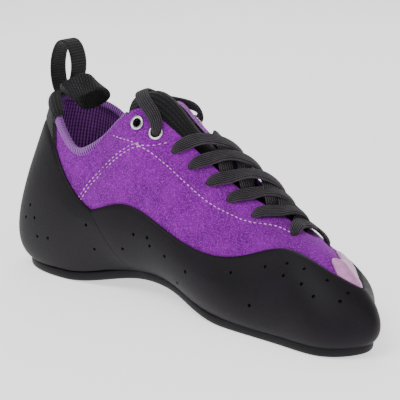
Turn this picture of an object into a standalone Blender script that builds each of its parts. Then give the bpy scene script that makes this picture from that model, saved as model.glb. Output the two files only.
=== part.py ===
"""A laced climbing shoe for the left foot, empty and standing on its sole.

Metres, +Z up, +X to the toe, -Y the big-toe side. The origin is on the floor, under the
middle of the heel.
"""

import math
from collections import namedtuple

import bmesh
import bpy
import numpy as np
from mathutils import Matrix, Vector

# Driving sizes of the last
LENGTH = 0.235
BALL_HALF = 0.044
HEEL_HALF = 0.031
HEEL_HEIGHT = 0.086
INSTEP_HEIGHT = 0.094
HEEL_SEAT = 0.145  # the origin's place along the length

# Driving sizes of the layers
GAP = 0.0003
FOOT_GAP = 0.0005
UPPER_WALL = 0.0018
RAND_WALL = 0.0020
PATCH_WALL = 0.0011
SOLE_WALL = 0.0050
SOLE_PROUD = 0.0004
SOLE_CHAMFER = 0.0009
INSOLE_WALL = 0.0025
TONGUE_WALL = 0.0028
TONGUE_TUCK = 0.0120
TONGUE_DROP = 0.0014
TONGUE_FRONT = 11.0
TONGUE_BACK = 4.75
TONGUE_DOME = 1.5
TONGUE_TAIL = 0.0070
TAIL_STEPS = 2
TAIL_NARROW = 0.10
PATCH_CLEAR = 0.012
SEAM_GAP = 0.0008
SKIVE = 0.012
ROLL_RADIUS = 0.0023
ROLL_FRONT_RADIUS = 0.0010
ROLL_END = 4.55
ROLL_TURN = 3.1
ROLL_FADE = 0.9

# Driving sizes of the underside
ARCH_INNER = 0.0098
ARCH_OUTER = 0.0040
ARCH_START = 0.19
ARCH_END = 0.66
TOE_SPRING = 0.0030
TOE_SPRING_START = 0.88
HEEL_SPRING = 0.0015
HEEL_SPRING_END = 0.05
SPRING_LIMIT = 1.2

# Driving sizes of the lacing
METAL_PAIRS = 2
HOLE_RADIUS = 0.0020
HOLE_INSET = 0.0075
EYELET_RADIUS = 0.0037
EYELET_BORE = 0.0021
EYELET_TUBE = 0.0027
EYELET_FLANGE = 0.0008
LACE_WIDTH = 0.0066
LACE_THICK = 0.0017
LACE_LIFT = 0.0016
LACE_TUCK = 0.0006
LACE_DIP = 0.0008
LACE_LEAN = 0.35
LACE_WELD = 0.000005

# Driving sizes of the webbing
TAPE_WIDTH = 0.0110
TAPE_THICK = 0.0014

TAPE_FOOT = 0.935
TAPE_RISE = 0.0030
STRIP_SQUARE = 0.4
# The loops' middle lines, measured from the back of the collar's edge
REAR_AXIS = (0.0, 1.0, 0.0)
REAR_LOOP = (
    (0.0021, 0.0, 0.0059), (-0.0003, 0.0, 0.0130), (-0.0001, 0.0, 0.0220), (0.0031, 0.0, 0.0300),
    (0.0079, 0.0, 0.0328), (0.0129, 0.0, 0.0290), (0.0149, 0.0, 0.0200), (0.0121, 0.0, 0.0110),
    (0.0067, 0.0, 0.0052),
)
FRONT_AXIS = (0.80, 0.25, -0.55)
FRONT_LOOP = (
    (0.0149, -0.0080, 0.0065), (0.0174, -0.0100, 0.0085), (0.0194, -0.0100, 0.0095),
    (0.0254, -0.0060, 0.0130), (0.0284, 0.0005, 0.0120), (0.0264, 0.0050, 0.0075),
    (0.0209, 0.0055, 0.0040), (0.0179, 0.0030, 0.0020), (0.0152, -0.0025, 0.0025),
)

# How finely the surfaces are divided
RING_STEPS = 72
RIB_STEPS = 9
SOLE_STEPS = 40
SOLE_ACROSS = 5
INSOLE_STEPS = 24
INSOLE_ACROSS = 3
TONGUE_STEPS = 14
EYELET_SIDES = 12
LACE_STEPS = 8
# The small steps that give a surface its directions
PROBE_ROUND = 0.002
PROBE_UP = 0.01
PROBE_EDGE = 0.02

# One row for each section, from the heel's back along the inner side to the toe, and back
# along the outer side. x is a share of the length, y of the half width and z of the height
# that the row's frame names. foot, low, high and edge are points that the wall passes.
HEEL = (HEEL_HALF, HEEL_HEIGHT)
BALL = (BALL_HALF, INSTEP_HEIGHT)
Row = namedtuple("Row", "name frame foot low high edge")
SECTIONS = (
    Row("heel_back", HEEL, (0.030, 0.00), (0.000, 0.00, 0.25), (0.016, 0.00, 0.60), (0.060, 0.00, 1.00)),
    Row("heel_turn_in", HEEL, (0.055, -0.60), (0.030, -0.72, 0.26), (0.054, -0.60, 0.60), (0.101, -0.46, 0.97)),
    Row("heel_in", HEEL, (0.145, -0.88), (0.135, -1.00, 0.27), (0.145, -0.92, 0.56), (0.165, -0.76, 0.87)),
    Row("dip_in", HEEL, (0.255, -0.84), (0.250, -1.03, 0.32), (0.255, -0.98, 0.54), (0.240, -0.82, 0.78)),
    Row("rise_in", BALL, (0.330, -0.52), (0.320, -0.72, 0.33), (0.320, -0.68, 0.56), (0.295, -0.44, 0.86)),
    Row("tab_in", BALL, (0.375, -0.48), (0.370, -0.71, 0.33), (0.375, -0.64, 0.62), (0.365, -0.34, 0.995)),
    Row("throat_in", BALL, (0.420, -0.48), (0.420, -0.70, 0.33), (0.420, -0.62, 0.60), (0.425, -0.26, 0.93)),
    Row("waist_in", BALL, (0.490, -0.52), (0.490, -0.72, 0.30), (0.485, -0.62, 0.55), (0.500, -0.22, 0.815)),
    Row("joint_in", BALL, (0.580, -0.66), (0.580, -0.78, 0.25), (0.575, -0.62, 0.47), (0.600, -0.20, 0.67)),
    Row("ball_in", BALL, (0.690, -0.75), (0.690, -0.82, 0.19), (0.680, -0.62, 0.41), (0.690, -0.18, 0.585)),
    Row("toes_in", BALL, (0.822, -0.78), (0.825, -0.81, 0.19), (0.780, -0.58, 0.41), (0.750, -0.15, 0.525)),
    Row("corner_in", BALL, (0.936, -0.73), (0.937, -0.73, 0.19), (0.875, -0.52, 0.38), (0.785, -0.12, 0.480)),
    Row("toe_tip", BALL, (0.972, -0.50), (0.977, -0.46, 0.19), (0.908, -0.34, 0.355), (0.797, -0.03, 0.455)),
    Row("corner_out", BALL, (0.926, -0.15), (0.932, -0.11, 0.19), (0.870, -0.05, 0.335), (0.787, 0.06, 0.445)),
    Row("toes_out", BALL, (0.850, 0.35), (0.856, 0.40, 0.185), (0.798, 0.30, 0.345), (0.748, 0.12, 0.475)),
    Row("ball_out", BALL, (0.720, 0.82), (0.725, 0.89, 0.175), (0.690, 0.62, 0.375), (0.688, 0.15, 0.555)),
    Row("joint_out", BALL, (0.590, 0.97), (0.595, 1.04, 0.21), (0.580, 0.76, 0.46), (0.600, 0.19, 0.665)),
    Row("waist_out", BALL, (0.470, 0.87), (0.470, 0.99, 0.24), (0.475, 0.76, 0.54), (0.500, 0.21, 0.81)),
    Row("throat_out", BALL, (0.410, 0.79), (0.415, 0.91, 0.26), (0.415, 0.75, 0.58), (0.425, 0.25, 0.925)),
    Row("tab_out", BALL, (0.365, 0.74), (0.365, 0.87, 0.27), (0.370, 0.74, 0.61), (0.365, 0.33, 0.985)),
    Row("rise_out", BALL, (0.315, 0.69), (0.310, 0.81, 0.27), (0.315, 0.74, 0.55), (0.295, 0.44, 0.86)),
    Row("dip_out", HEEL, (0.250, 0.90), (0.245, 1.06, 0.29), (0.248, 0.99, 0.53), (0.235, 0.82, 0.75)),
    Row("heel_out", HEEL, (0.145, 0.88), (0.135, 1.00, 0.27), (0.145, 0.92, 0.56), (0.165, 0.76, 0.87)),
    Row("heel_turn_out", HEEL, (0.055, 0.60), (0.030, 0.72, 0.26), (0.054, 0.60, 0.60), (0.101, 0.46, 0.97)),
)

# The rands' upper edges, as a share of the way up the wall at the sections named. The two
# rands meet at meet_in and meet_out.
HEEL_RAND_TOP = (
    ("meet_out", 0.55), ("dip_out", 0.64), ("heel_out", 0.90), ("heel_turn_out", 0.93),
    ("heel_back", 0.93),
    ("heel_turn_in", 0.93), ("heel_in", 0.90), ("dip_in", 0.64), ("meet_in", 0.55),
)
TOE_RAND_TOP = (
    ("meet_in", 0.55), ("rise_in", 0.55), ("throat_in", 0.55), ("joint_in", 0.52), ("ball_in", 0.61),
    ("toes_in", 0.72), ("corner_in", 0.69), ("toe_tip", 0.58), ("corner_out", 0.50),
    ("toes_out", 0.50), ("ball_out", 0.52), ("joint_out", 0.52), ("throat_out", 0.54),
    ("rise_out", 0.54), ("meet_out", 0.55),
)
# The rands' meeting lines, as section numbers along the ring at the rands' top and foot
MEET_TOP = {"meet_in": 3.48, "meet_out": 20.52}
MEET_FOOT = {"meet_in": 5.40, "meet_out": 18.60}
MEET_SHARE = 0.55
MEET_COLUMN = 0.26
# The toe patch, from section number to section number, and how far it reaches up the wall
PATCH_START = 11.5
PATCH_END = 13.5
PATCH_REACH = 0.19
# The lace holes down the inner side, as section numbers. The outer side has the same.
HOLE_STATIONS = (5.00, 5.80, 6.55, 7.15, 7.65, 8.20, 8.90, 10.30)
# How high the strand from each hole arches over the throat, as a share of its span
LACE_ARCHES = (0.16, 0.20, 0.24, 0.26, 0.25, 0.20, 0.12, 0.06)


def clear_scene():
    """Removes whatever the file holds."""
    for item in list(bpy.data.objects):
        bpy.data.objects.remove(item, do_unlink=True)


def smooth(value):
    """A step from 0 to 1 with level ends."""
    value = np.clip(value, 0.0, 1.0)
    return value * value * (3.0 - 2.0 * value)


class Spline:
    """A curve with even curvature through points, closed or open, over given knots."""

    def __init__(self, knots, points, closed=False):
        self.knots = np.asarray(knots, float)
        self.points = np.asarray(points, float)
        self.closed = closed
        self.bends = self.solve()

    def solve(self):
        """The second derivative at each knot."""
        count = len(self.points)
        steps = np.diff(self.knots)
        matrix = np.eye(count)
        right = np.zeros_like(self.points)
        for i in range(0 if self.closed else 1, count if self.closed else count - 1):
            before = steps[i - 1]
            after = steps[i]
            left, ahead = (i - 1) % count, (i + 1) % count
            matrix[i, i] = 2.0 * (before + after)
            matrix[i, left] += before
            matrix[i, ahead] += after
            rise = (self.points[ahead] - self.points[i]) / after
            fall = (self.points[i] - self.points[left]) / before
            right[i] = 6.0 * (rise - fall)
        return np.linalg.solve(matrix, right.reshape(count, -1)).reshape(right.shape)

    def __call__(self, where):
        """The points at the knots' values in where."""
        where = np.asarray(where, float)
        if self.closed:
            span = self.knots[-1] - self.knots[0]
            where = self.knots[0] + np.mod(where - self.knots[0], span)
        count = len(self.points)
        i = np.clip(np.searchsorted(self.knots, where, side="right") - 1, 0, len(self.knots) - 2)
        j = (i + 1) % count
        step = self.knots[i + 1] - self.knots[i]
        far = (where - self.knots[i]) / step
        near = 1.0 - far
        shape = where.shape + (1,) * (self.points.ndim - 1)
        far, near, step = far.reshape(shape), near.reshape(shape), step.reshape(shape)
        bend = (near**3 - near) * self.bends[i] + (far**3 - far) * self.bends[j]
        return near * self.points[i] + far * self.points[j] + step**2 / 6.0 * bend


def ground(x, y):
    """The height of the sole's underside over the floor."""
    along = x / LENGTH + HEEL_SEAT
    hump = np.sin(np.pi * np.clip((along - ARCH_START) / (ARCH_END - ARCH_START), 0.0, 1.0)) ** 2
    side = np.clip(0.5 - 0.5 * y / BALL_HALF, 0.0, 1.0)
    arch = hump * (ARCH_OUTER + (ARCH_INNER - ARCH_OUTER) * side)
    toe_share = (along - TOE_SPRING_START) / (1.0 - TOE_SPRING_START)
    toe = TOE_SPRING * np.clip(toe_share, 0.0, SPRING_LIMIT) ** 2
    heel_share = 1.0 - along / HEEL_SPRING_END
    heel = HEEL_SPRING * np.clip(heel_share, 0.0, SPRING_LIMIT) ** 2
    return arch + toe + heel


class Last:
    """The upper's outer face as a function of the way round and the way up."""

    def __init__(self):
        rails = np.array([self.through(row) for row in SECTIONS])
        step = np.linalg.norm(np.roll(rails, -1, axis=0) - rails, axis=2).mean(axis=1)
        half = len(SECTIONS) // 2
        knots = [0.0]
        for i, length in enumerate(step):
            whole = step[:half].sum() if i < half else step[half:].sum()
            knots.append(knots[-1] + 0.5 * length / whole)
        self.knots = np.array(knots)
        self.rails = Spline(self.knots, rails, closed=True)

    @staticmethod
    def through(row):
        """The four points that one section's wall passes."""
        foot_x = (row.foot[0] - HEEL_SEAT) * LENGTH
        wide, tall = row.frame
        foot_y = row.foot[1] * wide
        foot = (foot_x, foot_y, float(ground(foot_x, foot_y)) + SOLE_WALL + FOOT_GAP)
        rest = [
            ((p[0] - HEEL_SEAT) * LENGTH, p[1] * wide, p[2] * tall)
            for p in (row.low, row.high, row.edge)
        ]
        return [foot, *rest]

    def around(self, station):
        """The way round at a section's number, which may lie between two sections."""
        count = len(SECTIONS)
        station = np.asarray(station, float)
        turns = np.floor(station / count)
        return turns + np.interp(station - turns * count, np.arange(count + 1), self.knots)

    def station(self, a):
        """The section's number at a way round."""
        count = len(SECTIONS)
        turns = np.floor(a)
        return turns * count + np.interp(a - turns, self.knots, np.arange(count + 1))

    def point(self, a, b):
        """The outer face at a round the shoe (0 to 1) and b up the wall (0 to 1)."""
        a, b = np.broadcast_arrays(np.asarray(a, float), np.asarray(b, float))
        p = self.rails(a)
        b = b[..., None]
        f, low, high, edge = (p[..., k, :] for k in range(4))
        first = (-5.0 * f + 18.0 * low - 9.0 * high + 2.0 * edge) / 6.0
        second = (2.0 * f - 9.0 * low + 18.0 * high - 5.0 * edge) / 6.0
        c = 1.0 - b
        return c**3 * f + 3.0 * c * c * b * first + 3.0 * c * b * b * second + b**3 * edge

    def reach(self, a):
        """How long the wall is at its edge, for each unit of the way up."""
        rise = self.point(a, 1.0) - self.point(a, 1.0 - PROBE_EDGE)
        return np.linalg.norm(rise, axis=-1) / PROBE_EDGE

    def normal(self, a, b):
        """The outward direction there."""
        a, b = np.broadcast_arrays(np.asarray(a, float), np.asarray(b, float))
        low, high = np.clip(b - PROBE_UP, 0.0, 1.0), np.clip(b + PROBE_UP, 0.0, 1.0)
        up = self.point(a, high) - self.point(a, low)
        along = self.point(a + PROBE_ROUND, b) - self.point(a - PROBE_ROUND, b)
        out = np.cross(along, up)
        return out / np.linalg.norm(out, axis=-1, keepdims=True)

    def at(self, a, b, lift):
        """A point at a height over the outer face. The lowest row stands on the outsole."""
        a, b = np.broadcast_arrays(np.asarray(a, float), np.asarray(b, float))
        lift = np.asarray(lift, float) + 0.0 * a
        p = self.point(a, b) + lift[..., None] * self.normal(a, b)
        foot = self.rim(a, np.where(lift > 0.0, np.maximum(lift + GAP, 3.0 * GAP), lift))
        foot[..., 2] = ground(foot[..., 0], foot[..., 1]) + SOLE_WALL + FOOT_GAP
        return np.where((b <= 0.0)[..., None], foot, p)

    def rim(self, a, out):
        """The foot's line, moved outward over the floor."""
        a = np.asarray(a, float)
        p = self.point(a, 0.0)
        along = self.point(a + PROBE_ROUND, 0.0) - self.point(a - PROBE_ROUND, 0.0)
        side = np.stack([along[..., 1], -along[..., 0], np.zeros_like(a)], axis=-1)
        side /= np.linalg.norm(side, axis=-1, keepdims=True)
        return p + np.asarray(out, float)[..., None] * side


LAST = Last()
NAMES = [row.name for row in SECTIONS]


def line_of(table):
    """An open spline over the way round from a table of section names and shares."""
    stations = [MEET_TOP[name] if name in MEET_TOP else NAMES.index(name) for name, _ in table]
    for i in range(1, len(stations)):
        while stations[i] < stations[i - 1]:
            stations[i] += len(SECTIONS)
    return Spline(LAST.around(stations), [share for _, share in table])


HEEL_TOP = line_of(HEEL_RAND_TOP)
TOE_TOP = line_of(TOE_RAND_TOP)


def material(name, colour, roughness, metallic=0.0):
    """One Principled material."""
    made = bpy.data.materials.new(name)
    made.use_nodes = True
    shader = made.node_tree.nodes["Principled BSDF"]
    shader.inputs["Base Color"].default_value = (*colour, 1.0)
    shader.inputs["Roughness"].default_value = roughness
    shader.inputs["Metallic"].default_value = metallic
    made.diffuse_color = (*colour, 1.0)
    return made


def add_object(name, mesh, finish, sharp=35.0):
    """Links a mesh under a name, with its material and smooth shading."""
    mesh.materials.append(finish)
    made = bpy.data.objects.new(name, mesh)
    bpy.context.scene.collection.objects.link(made)
    mesh.shade_smooth()
    mesh.set_sharp_from_angle(angle=math.radians(sharp))
    return made


def mesh_of(name, build):
    """A mesh whose faces point outward, from a function that fills a bmesh."""
    work = bmesh.new()
    build(work)
    bmesh.ops.remove_doubles(work, verts=work.verts, dist=1e-6)
    bmesh.ops.dissolve_degenerate(work, edges=work.edges, dist=1e-6)
    bmesh.ops.recalc_face_normals(work, faces=work.faces)
    mesh = bpy.data.meshes.new(name)
    work.to_mesh(mesh)
    work.free()
    return mesh


def add_rows(work, loops, closed_loop, closed_way):
    """Joins loops of points, in order, with four-sided faces."""
    rows = [[work.verts.new(p) for p in loop] for loop in loops]
    ways = len(rows) if closed_way else len(rows) - 1
    for i in range(ways):
        first, second = rows[i], rows[(i + 1) % len(rows)]
        count = len(first) if closed_loop else len(first) - 1
        for j in range(count):
            k = (j + 1) % len(first)
            work.faces.new((first[j], first[k], second[k], second[j]))
    return rows


def shell(name, outer, inner, finish, closed):
    """A wall between two grids of points, columns by rows."""

    def build(work):
        loops = [list(map(Vector, [*o, *i[::-1]])) for o, i in zip(outer, inner)]
        rows = add_rows(work, loops, True, closed)
        if not closed:
            count = len(outer[0])
            for row in (rows[0], rows[-1]):
                for j in range(count - 1):
                    pair = 2 * count - 1 - j
                    work.faces.new((row[j], row[j + 1], row[pair - 1], row[pair]))

    return add_object(name, mesh_of(name, build), finish)


def plate(name, ring, steps, across, layers, finish):
    """A plate with a curved outline and faces. layers gives each face's inset and height."""
    ways = 0.5 * (1.0 - np.cos(np.linspace(0.0, math.pi, steps + 1)))
    ways = 0.5 * (0.5 * ways + 0.5 * np.linspace(0.0, 1.0, steps + 1))

    def level(inset, rise):
        near = ring(ways, inset)
        far = ring(1.0 - ways, inset)
        share = np.linspace(0.0, 1.0, across + 1)[None, :, None]
        grid = near[:, None] + (far - near)[:, None] * share
        grid[..., 2] = ground(grid[..., 0], grid[..., 1]) + rise
        return grid

    def build(work):
        grids = [level(inset, rise) for inset, rise in layers]
        for grid in (grids[0], grids[-1]):
            add_rows(work, [list(map(Vector, row)) for row in grid], False, False)
        for side in (0, -1):
            add_rows(work, [list(map(Vector, grid[:, side])) for grid in grids], False, False)

    return add_object(name, mesh_of(name, build), finish)


def make_upper(finish):
    """The hollow suede body."""
    a = np.linspace(0.0, 1.0, RING_STEPS, endpoint=False)[:, None]
    b = np.linspace(0.0, 1.0, RIB_STEPS + 1)[None, :]
    outer = LAST.at(a, b, np.zeros((1, 1)))
    inner = LAST.at(a, b, np.full((1, 1), -UPPER_WALL))
    return shell("upper", outer, inner, finish, True)


def make_outsole(finish):
    """The rubber plate with its chamfered lower edge."""
    out = RAND_WALL + GAP + SOLE_PROUD
    layers = ((out - SOLE_CHAMFER, 0.0), (out, SOLE_CHAMFER), (out, SOLE_WALL))
    return plate("outsole", LAST.rim, SOLE_STEPS, SOLE_ACROSS, layers, finish)


def make_insole(finish):
    """The board on the outsole, inside the upper."""
    inset = -(UPPER_WALL + 2.0 * GAP)
    low = SOLE_WALL + 1.5 * GAP
    layers = ((inset, low), (inset, low + INSOLE_WALL))
    return plate("insole", LAST.rim, INSOLE_STEPS, INSOLE_ACROSS, layers, finish)


def overlay(name, columns, left, right, low, high, wall, finish):
    """A skin over the upper that keeps to the upper's own columns and rows.

    columns holds the first and last column. left and right give the way round of its ends at
    a way up, low and high the way up of its edges at a way round.
    """
    own = np.arange(columns[0], columns[1] + 1)[:, None] / RING_STEPS
    rows = np.append(np.arange(RIB_STEPS + 1) / RIB_STEPS, 2.0)[None, :]
    b = np.minimum(rows, MEET_SHARE) + 0.0 * own
    for _ in range(4):
        a = np.clip(own, left(b), right(b))
        top = high(a)
        b = np.clip(rows, low(a), np.where(rows > 1.0, top, top - SKIVE))
    lift = GAP + np.where(rows > 1.0, 0.5, 1.0) * wall + 0.0 * a
    return shell(name, LAST.at(a, b, lift), LAST.at(a, b, np.full((1, 1), GAP)), finish, False)


def seam(end, shift):
    """The rands' meeting line at one side, as the way round at a way up."""
    foot, top = LAST.around([MEET_FOOT[end], MEET_TOP[end]])
    return lambda b: foot + shift + (top - foot) * b / MEET_SHARE


def make_rands(finish):
    """The rubber walls round the heel and round the toe."""
    floor = np.zeros_like
    out, back = seam("meet_out", SEAM_GAP), seam("meet_in", -SEAM_GAP)
    heel_end = int(RING_STEPS * MEET_COLUMN)
    overlay(
        "heel_rand", (-heel_end, heel_end), lambda b: out(b) - 1.0, back, floor,
        lambda a: HEEL_TOP(np.where(a < HEEL_TOP.knots[0], a + 1.0, a)), RAND_WALL, finish,
    )
    toe_start = int(RING_STEPS * float(LAST.around(MEET_TOP["meet_in"])))
    overlay(
        "toe_rand", (toe_start, RING_STEPS - toe_start), seam("meet_in", 0.0), seam("meet_out", 0.0),
        floor, TOE_TOP, RAND_WALL, finish,
    )


def make_patch(finish):
    """The smooth piece on top of the toe, behind the rand's edge."""
    start, stop = LAST.around([PATCH_START, PATCH_END])

    def high(a):
        way = np.clip((a - start) / (stop - start), 0.0, 1.0)
        return TOE_TOP(a) + 2.0 * PATCH_CLEAR + PATCH_REACH * np.sin(math.pi * way) ** 0.6

    columns = (int(RING_STEPS * start), int(RING_STEPS * stop) + 1)
    return overlay(
        "toe_patch", columns, lambda b: start + 0.0 * b, lambda b: stop + 0.0 * b,
        lambda a: TOE_TOP(a) + PATCH_CLEAR, high, PATCH_WALL, finish,
    )


def make_tongue(finish):
    """The strip under the throat, curved across between the lace stays."""
    way = np.linspace(0.0, 1.0, TONGUE_STEPS + 1)
    stations = TONGUE_FRONT + (TONGUE_BACK - TONGUE_FRONT) * way
    near, far = LAST.around(stations), LAST.around(len(SECTIONS) - stations)
    under = -(UPPER_WALL + TONGUE_DROP)
    columns = []
    for a_in, a_out in zip(near, far):
        rows = []
        for drop in (under, under - TONGUE_WALL):
            tuck = np.array([TONGUE_TUCK, 0.5 * TONGUE_TUCK, 0.0])
            b_in = 1.0 - tuck / LAST.reach(a_in)
            b_out = 1.0 - tuck / LAST.reach(a_out)
            left = LAST.at(np.full(3, a_in), b_in, np.full(3, drop))
            right = LAST.at(np.full(3, a_out), b_out, np.full(3, drop))[::-1]
            start, end = left[-1], right[0]
            span = np.linalg.norm(end - start)
            rise_in, rise_out = left[-1] - left[-2], right[0] - right[1]
            rise_in = rise_in / np.linalg.norm(rise_in) * TONGUE_DOME * span
            rise_out = rise_out / np.linalg.norm(rise_out) * TONGUE_DOME * span
            t = np.linspace(0.0, 1.0, 8)[1:-1, None]
            bridge = (
                (2 * t**3 - 3 * t**2 + 1) * start + (t**3 - 2 * t**2 + t) * rise_in
                + (3 * t**2 - 2 * t**3) * end - (t**3 - t**2) * rise_out
            )
            rows.append(np.vstack([left, bridge, right]))
        columns.append(rows)
    faces = np.array(columns)
    step = faces[-1, 0].mean(axis=0) - faces[-2, 0].mean(axis=0)
    step *= TONGUE_TAIL / TAIL_STEPS / np.linalg.norm(step)
    tail = []
    for k in range(1, TAIL_STEPS + 1):
        tail.append((faces[-1] + k * step) * (1.0, 1.0 - TAIL_NARROW * k / TAIL_STEPS, 1.0))
    faces = np.concatenate([faces, tail])
    return shell("tongue", faces[:, 0], faces[:, 1], finish, False)


def tube(name, path, width, depth, radius_wide, radius_deep, finish, closed=False, sides=8):
    """A rounded strip along a path. width and depth are its two directions at each point."""

    def build(work):
        turns = 2.0 * math.pi * (np.arange(sides) + 0.5) / sides
        across = np.sign(np.cos(turns)) * np.abs(np.cos(turns)) ** STRIP_SQUARE
        loops = []
        for p, w, d, rw, rd in zip(path, width, depth, radius_wide, radius_deep):
            loops.append([Vector(p + rw * c * w + rd * s * d) for c, s in zip(across, np.sin(turns))])
        rows = add_rows(work, loops, True, closed)
        if not closed:
            work.faces.new(rows[0])
            work.faces.new(rows[-1])

    return add_object(name, mesh_of(name, build), finish)


def make_roll(finish):
    """The rolled edge of the collar, thick round the heel and thin up the front."""
    start, stop = LAST.around([-ROLL_END, ROLL_END]) * RING_STEPS
    a = np.arange(math.floor(stop), math.ceil(start) - 1, -1) / RING_STEPS
    path = LAST.point(a, 1.0)
    rise = path - LAST.point(a, 1.0 - PROBE_EDGE)
    rise /= np.linalg.norm(rise, axis=1, keepdims=True)
    out = LAST.normal(a, np.ones_like(a))
    thin = smooth((np.abs(LAST.station(a)) - ROLL_TURN) / ROLL_FADE)
    radius = ROLL_RADIUS + (ROLL_FRONT_RADIUS - ROLL_RADIUS) * thin
    centre = path + (GAP + radius)[:, None] * rise - 0.5 * UPPER_WALL * out
    return tube("collar_roll", centre, out, rise, radius, radius, finish)


def make_tape(finish):
    """The webbing up the middle of the heel's back, from the rand to the loops."""
    b = np.linspace(TAPE_FOOT, 1.0, 5)
    bulge = ROLL_RADIUS - 0.5 * UPPER_WALL + GAP
    lift = GAP + 0.5 * TAPE_THICK + bulge * smooth((b - TAPE_FOOT) / (1.0 - TAPE_FOOT))
    path = list(LAST.at(np.zeros(5), b, lift))
    out = list(LAST.normal(np.zeros(5), b))
    path.append(path[-1] + Vector((0.0002, 0.0, TAPE_RISE)))
    out.append(out[-1])
    path, out = np.array([list(p) for p in path]), np.array([list(p) for p in out])
    wide = np.tile([0.0, 1.0, 0.0], (len(path), 1))
    half = np.full(len(path), 0.5)
    return tube("heel_tape", path, wide, out, half * TAPE_WIDTH, half * TAPE_THICK, finish)


def make_loop(name, points, axis, finish):
    """A closed loop of webbing through points over the collar, its width along an axis."""
    points = np.array(points) + LAST.point(0.0, 1.0)
    count = len(points)
    curve = Spline(np.arange(count + 1), points, closed=True)
    where = np.arange(0.0, count, 0.4)
    path = curve(where)
    along = curve(where + 0.01) - curve(where - 0.01)
    along /= np.linalg.norm(along, axis=1, keepdims=True)
    wide = np.array(axis) / np.linalg.norm(axis)
    wide = wide - (along @ wide)[:, None] * along
    wide /= np.linalg.norm(wide, axis=1, keepdims=True)
    deep = np.cross(along, wide)
    half = np.full(len(path), 0.5)
    return tube(name, path, wide, deep, half * TAPE_WIDTH, half * TAPE_THICK, finish, closed=True)


def hole_place(side, number):
    """The way round and the way up of one lace hole. side is -1 inside and 1 outside."""
    station = HOLE_STATIONS[number]
    a = float(LAST.around(station if side < 0 else len(SECTIONS) - station))
    return a, 1.0 - HOLE_INSET / float(LAST.reach(a))


def hole_frame(side, number):
    """A lace hole's centre on the outer face and its outward direction."""
    a, b = hole_place(side, number)
    return Vector(LAST.point(a, b)), Vector(LAST.normal(a, b))


def cut_holes(upper):
    """Cuts the lace holes through the upper's wall."""
    for side in (-1, 1):
        for number in range(len(HOLE_STATIONS)):
            centre, out = hole_frame(side, number)
            radius = EYELET_TUBE + GAP if number < METAL_PAIRS else HOLE_RADIUS
            work = bmesh.new()
            bmesh.ops.create_cone(
                work, cap_ends=True, segments=12, radius1=radius, radius2=radius, depth=6.0 * UPPER_WALL
            )
            mesh = bpy.data.meshes.new("hole")
            work.to_mesh(mesh)
            work.free()
            cutter = bpy.data.objects.new(f"hole_{side}_{number}", mesh)
            bpy.context.scene.collection.objects.link(cutter)
            cutter.matrix_world = Matrix.LocRotScale(centre, out.to_track_quat("Z", "Y"), None)
            cutter.hide_render = True
            cutter.display_type = "WIRE"
            cut = upper.modifiers.new(f"hole_{side}_{number}", "BOOLEAN")
            cut.operation = "DIFFERENCE"
            cut.object = cutter


def make_eyelet(name, side, number, finish):
    """One turned metal eyelet, its flange on the outer face."""
    low, high = -UPPER_WALL - GAP, GAP + EYELET_FLANGE
    profile = (
        (EYELET_BORE, low), (EYELET_TUBE, low), (EYELET_TUBE, GAP), (EYELET_RADIUS, GAP),
        (EYELET_RADIUS - 0.3 * EYELET_FLANGE, 0.6 * high), (0.5 * (EYELET_RADIUS + EYELET_BORE), high),
        (EYELET_BORE, 0.5 * high),
    )

    def build(work):
        loops = []
        for k in range(EYELET_SIDES):
            turn = 2.0 * math.pi * k / EYELET_SIDES
            loops.append([Vector((r * math.cos(turn), r * math.sin(turn), z)) for r, z in profile])
        add_rows(work, loops, True, True)

    made = add_object(name, mesh_of(name, build), finish)
    centre, out = hole_frame(side, number)
    made.matrix_world = Matrix.LocRotScale(centre, out.to_track_quat("Z", "Y"), None)
    return made


def strand_top(side, number):
    """Where a strand passes the throat's edge over its own hole, and its upward direction."""
    last = min(number + 1, len(HOLE_STATIONS) - 1)
    a, _ = hole_place(side, number)
    ahead, _ = hole_place(side, last)
    bar = number == last or number == 1
    lean = a if bar else a + LACE_LEAN * (ahead - a)
    return LAST.at(lean, 1.0, LACE_LIFT + LACE_THICK), LAST.normal(lean, 1.0)


def strand_path(side, number, last):
    """A lace strand's points and upward directions, from a hole to the strand that hides its end.

    A strand whose last hole is its own is a bar, straight across.
    """
    a, b = hole_place(side, number)
    lift = LACE_LIFT + (EYELET_FLANGE if number < METAL_PAIRS else 0.0)
    spots = [(LAST.at(a, b, lift), LAST.normal(a, b)), strand_top(side, number)]
    if number == last:
        spots.append(strand_top(-side, number))
        a, b = hole_place(-side, number)
        spots.append((LAST.at(a, b, lift), LAST.normal(a, b)))
    else:
        edge, up = strand_top(-side, last)
        inward = spots[1][0] - edge
        inward /= np.linalg.norm(inward)
        spots.append((edge + LACE_TUCK * inward - LACE_DIP * up, up))
    first, second = spots[1][0], spots[2][0]
    up = spots[1][1] + spots[2][1]
    up /= np.linalg.norm(up)
    arch = LACE_ARCHES[number] * np.linalg.norm(second - first)
    spots.insert(2, (0.5 * (first + second) + arch * up, up))
    return np.array([p for p, _ in spots]), np.array([n for _, n in spots])


def flatten(body):
    """Replaces a body's modifiers by their result, without its shortest edges."""
    graph = bpy.context.evaluated_depsgraph_get()
    mesh = bpy.data.meshes.new_from_object(body.evaluated_get(graph))
    for item in [modifier.object for modifier in body.modifiers]:
        bpy.data.objects.remove(item, do_unlink=True)
    body.modifiers.clear()
    work = bmesh.new()
    work.from_mesh(mesh)
    bmesh.ops.dissolve_degenerate(work, edges=work.edges, dist=LACE_WELD)
    work.to_mesh(mesh)
    work.free()
    body.data = mesh
    return body


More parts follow.
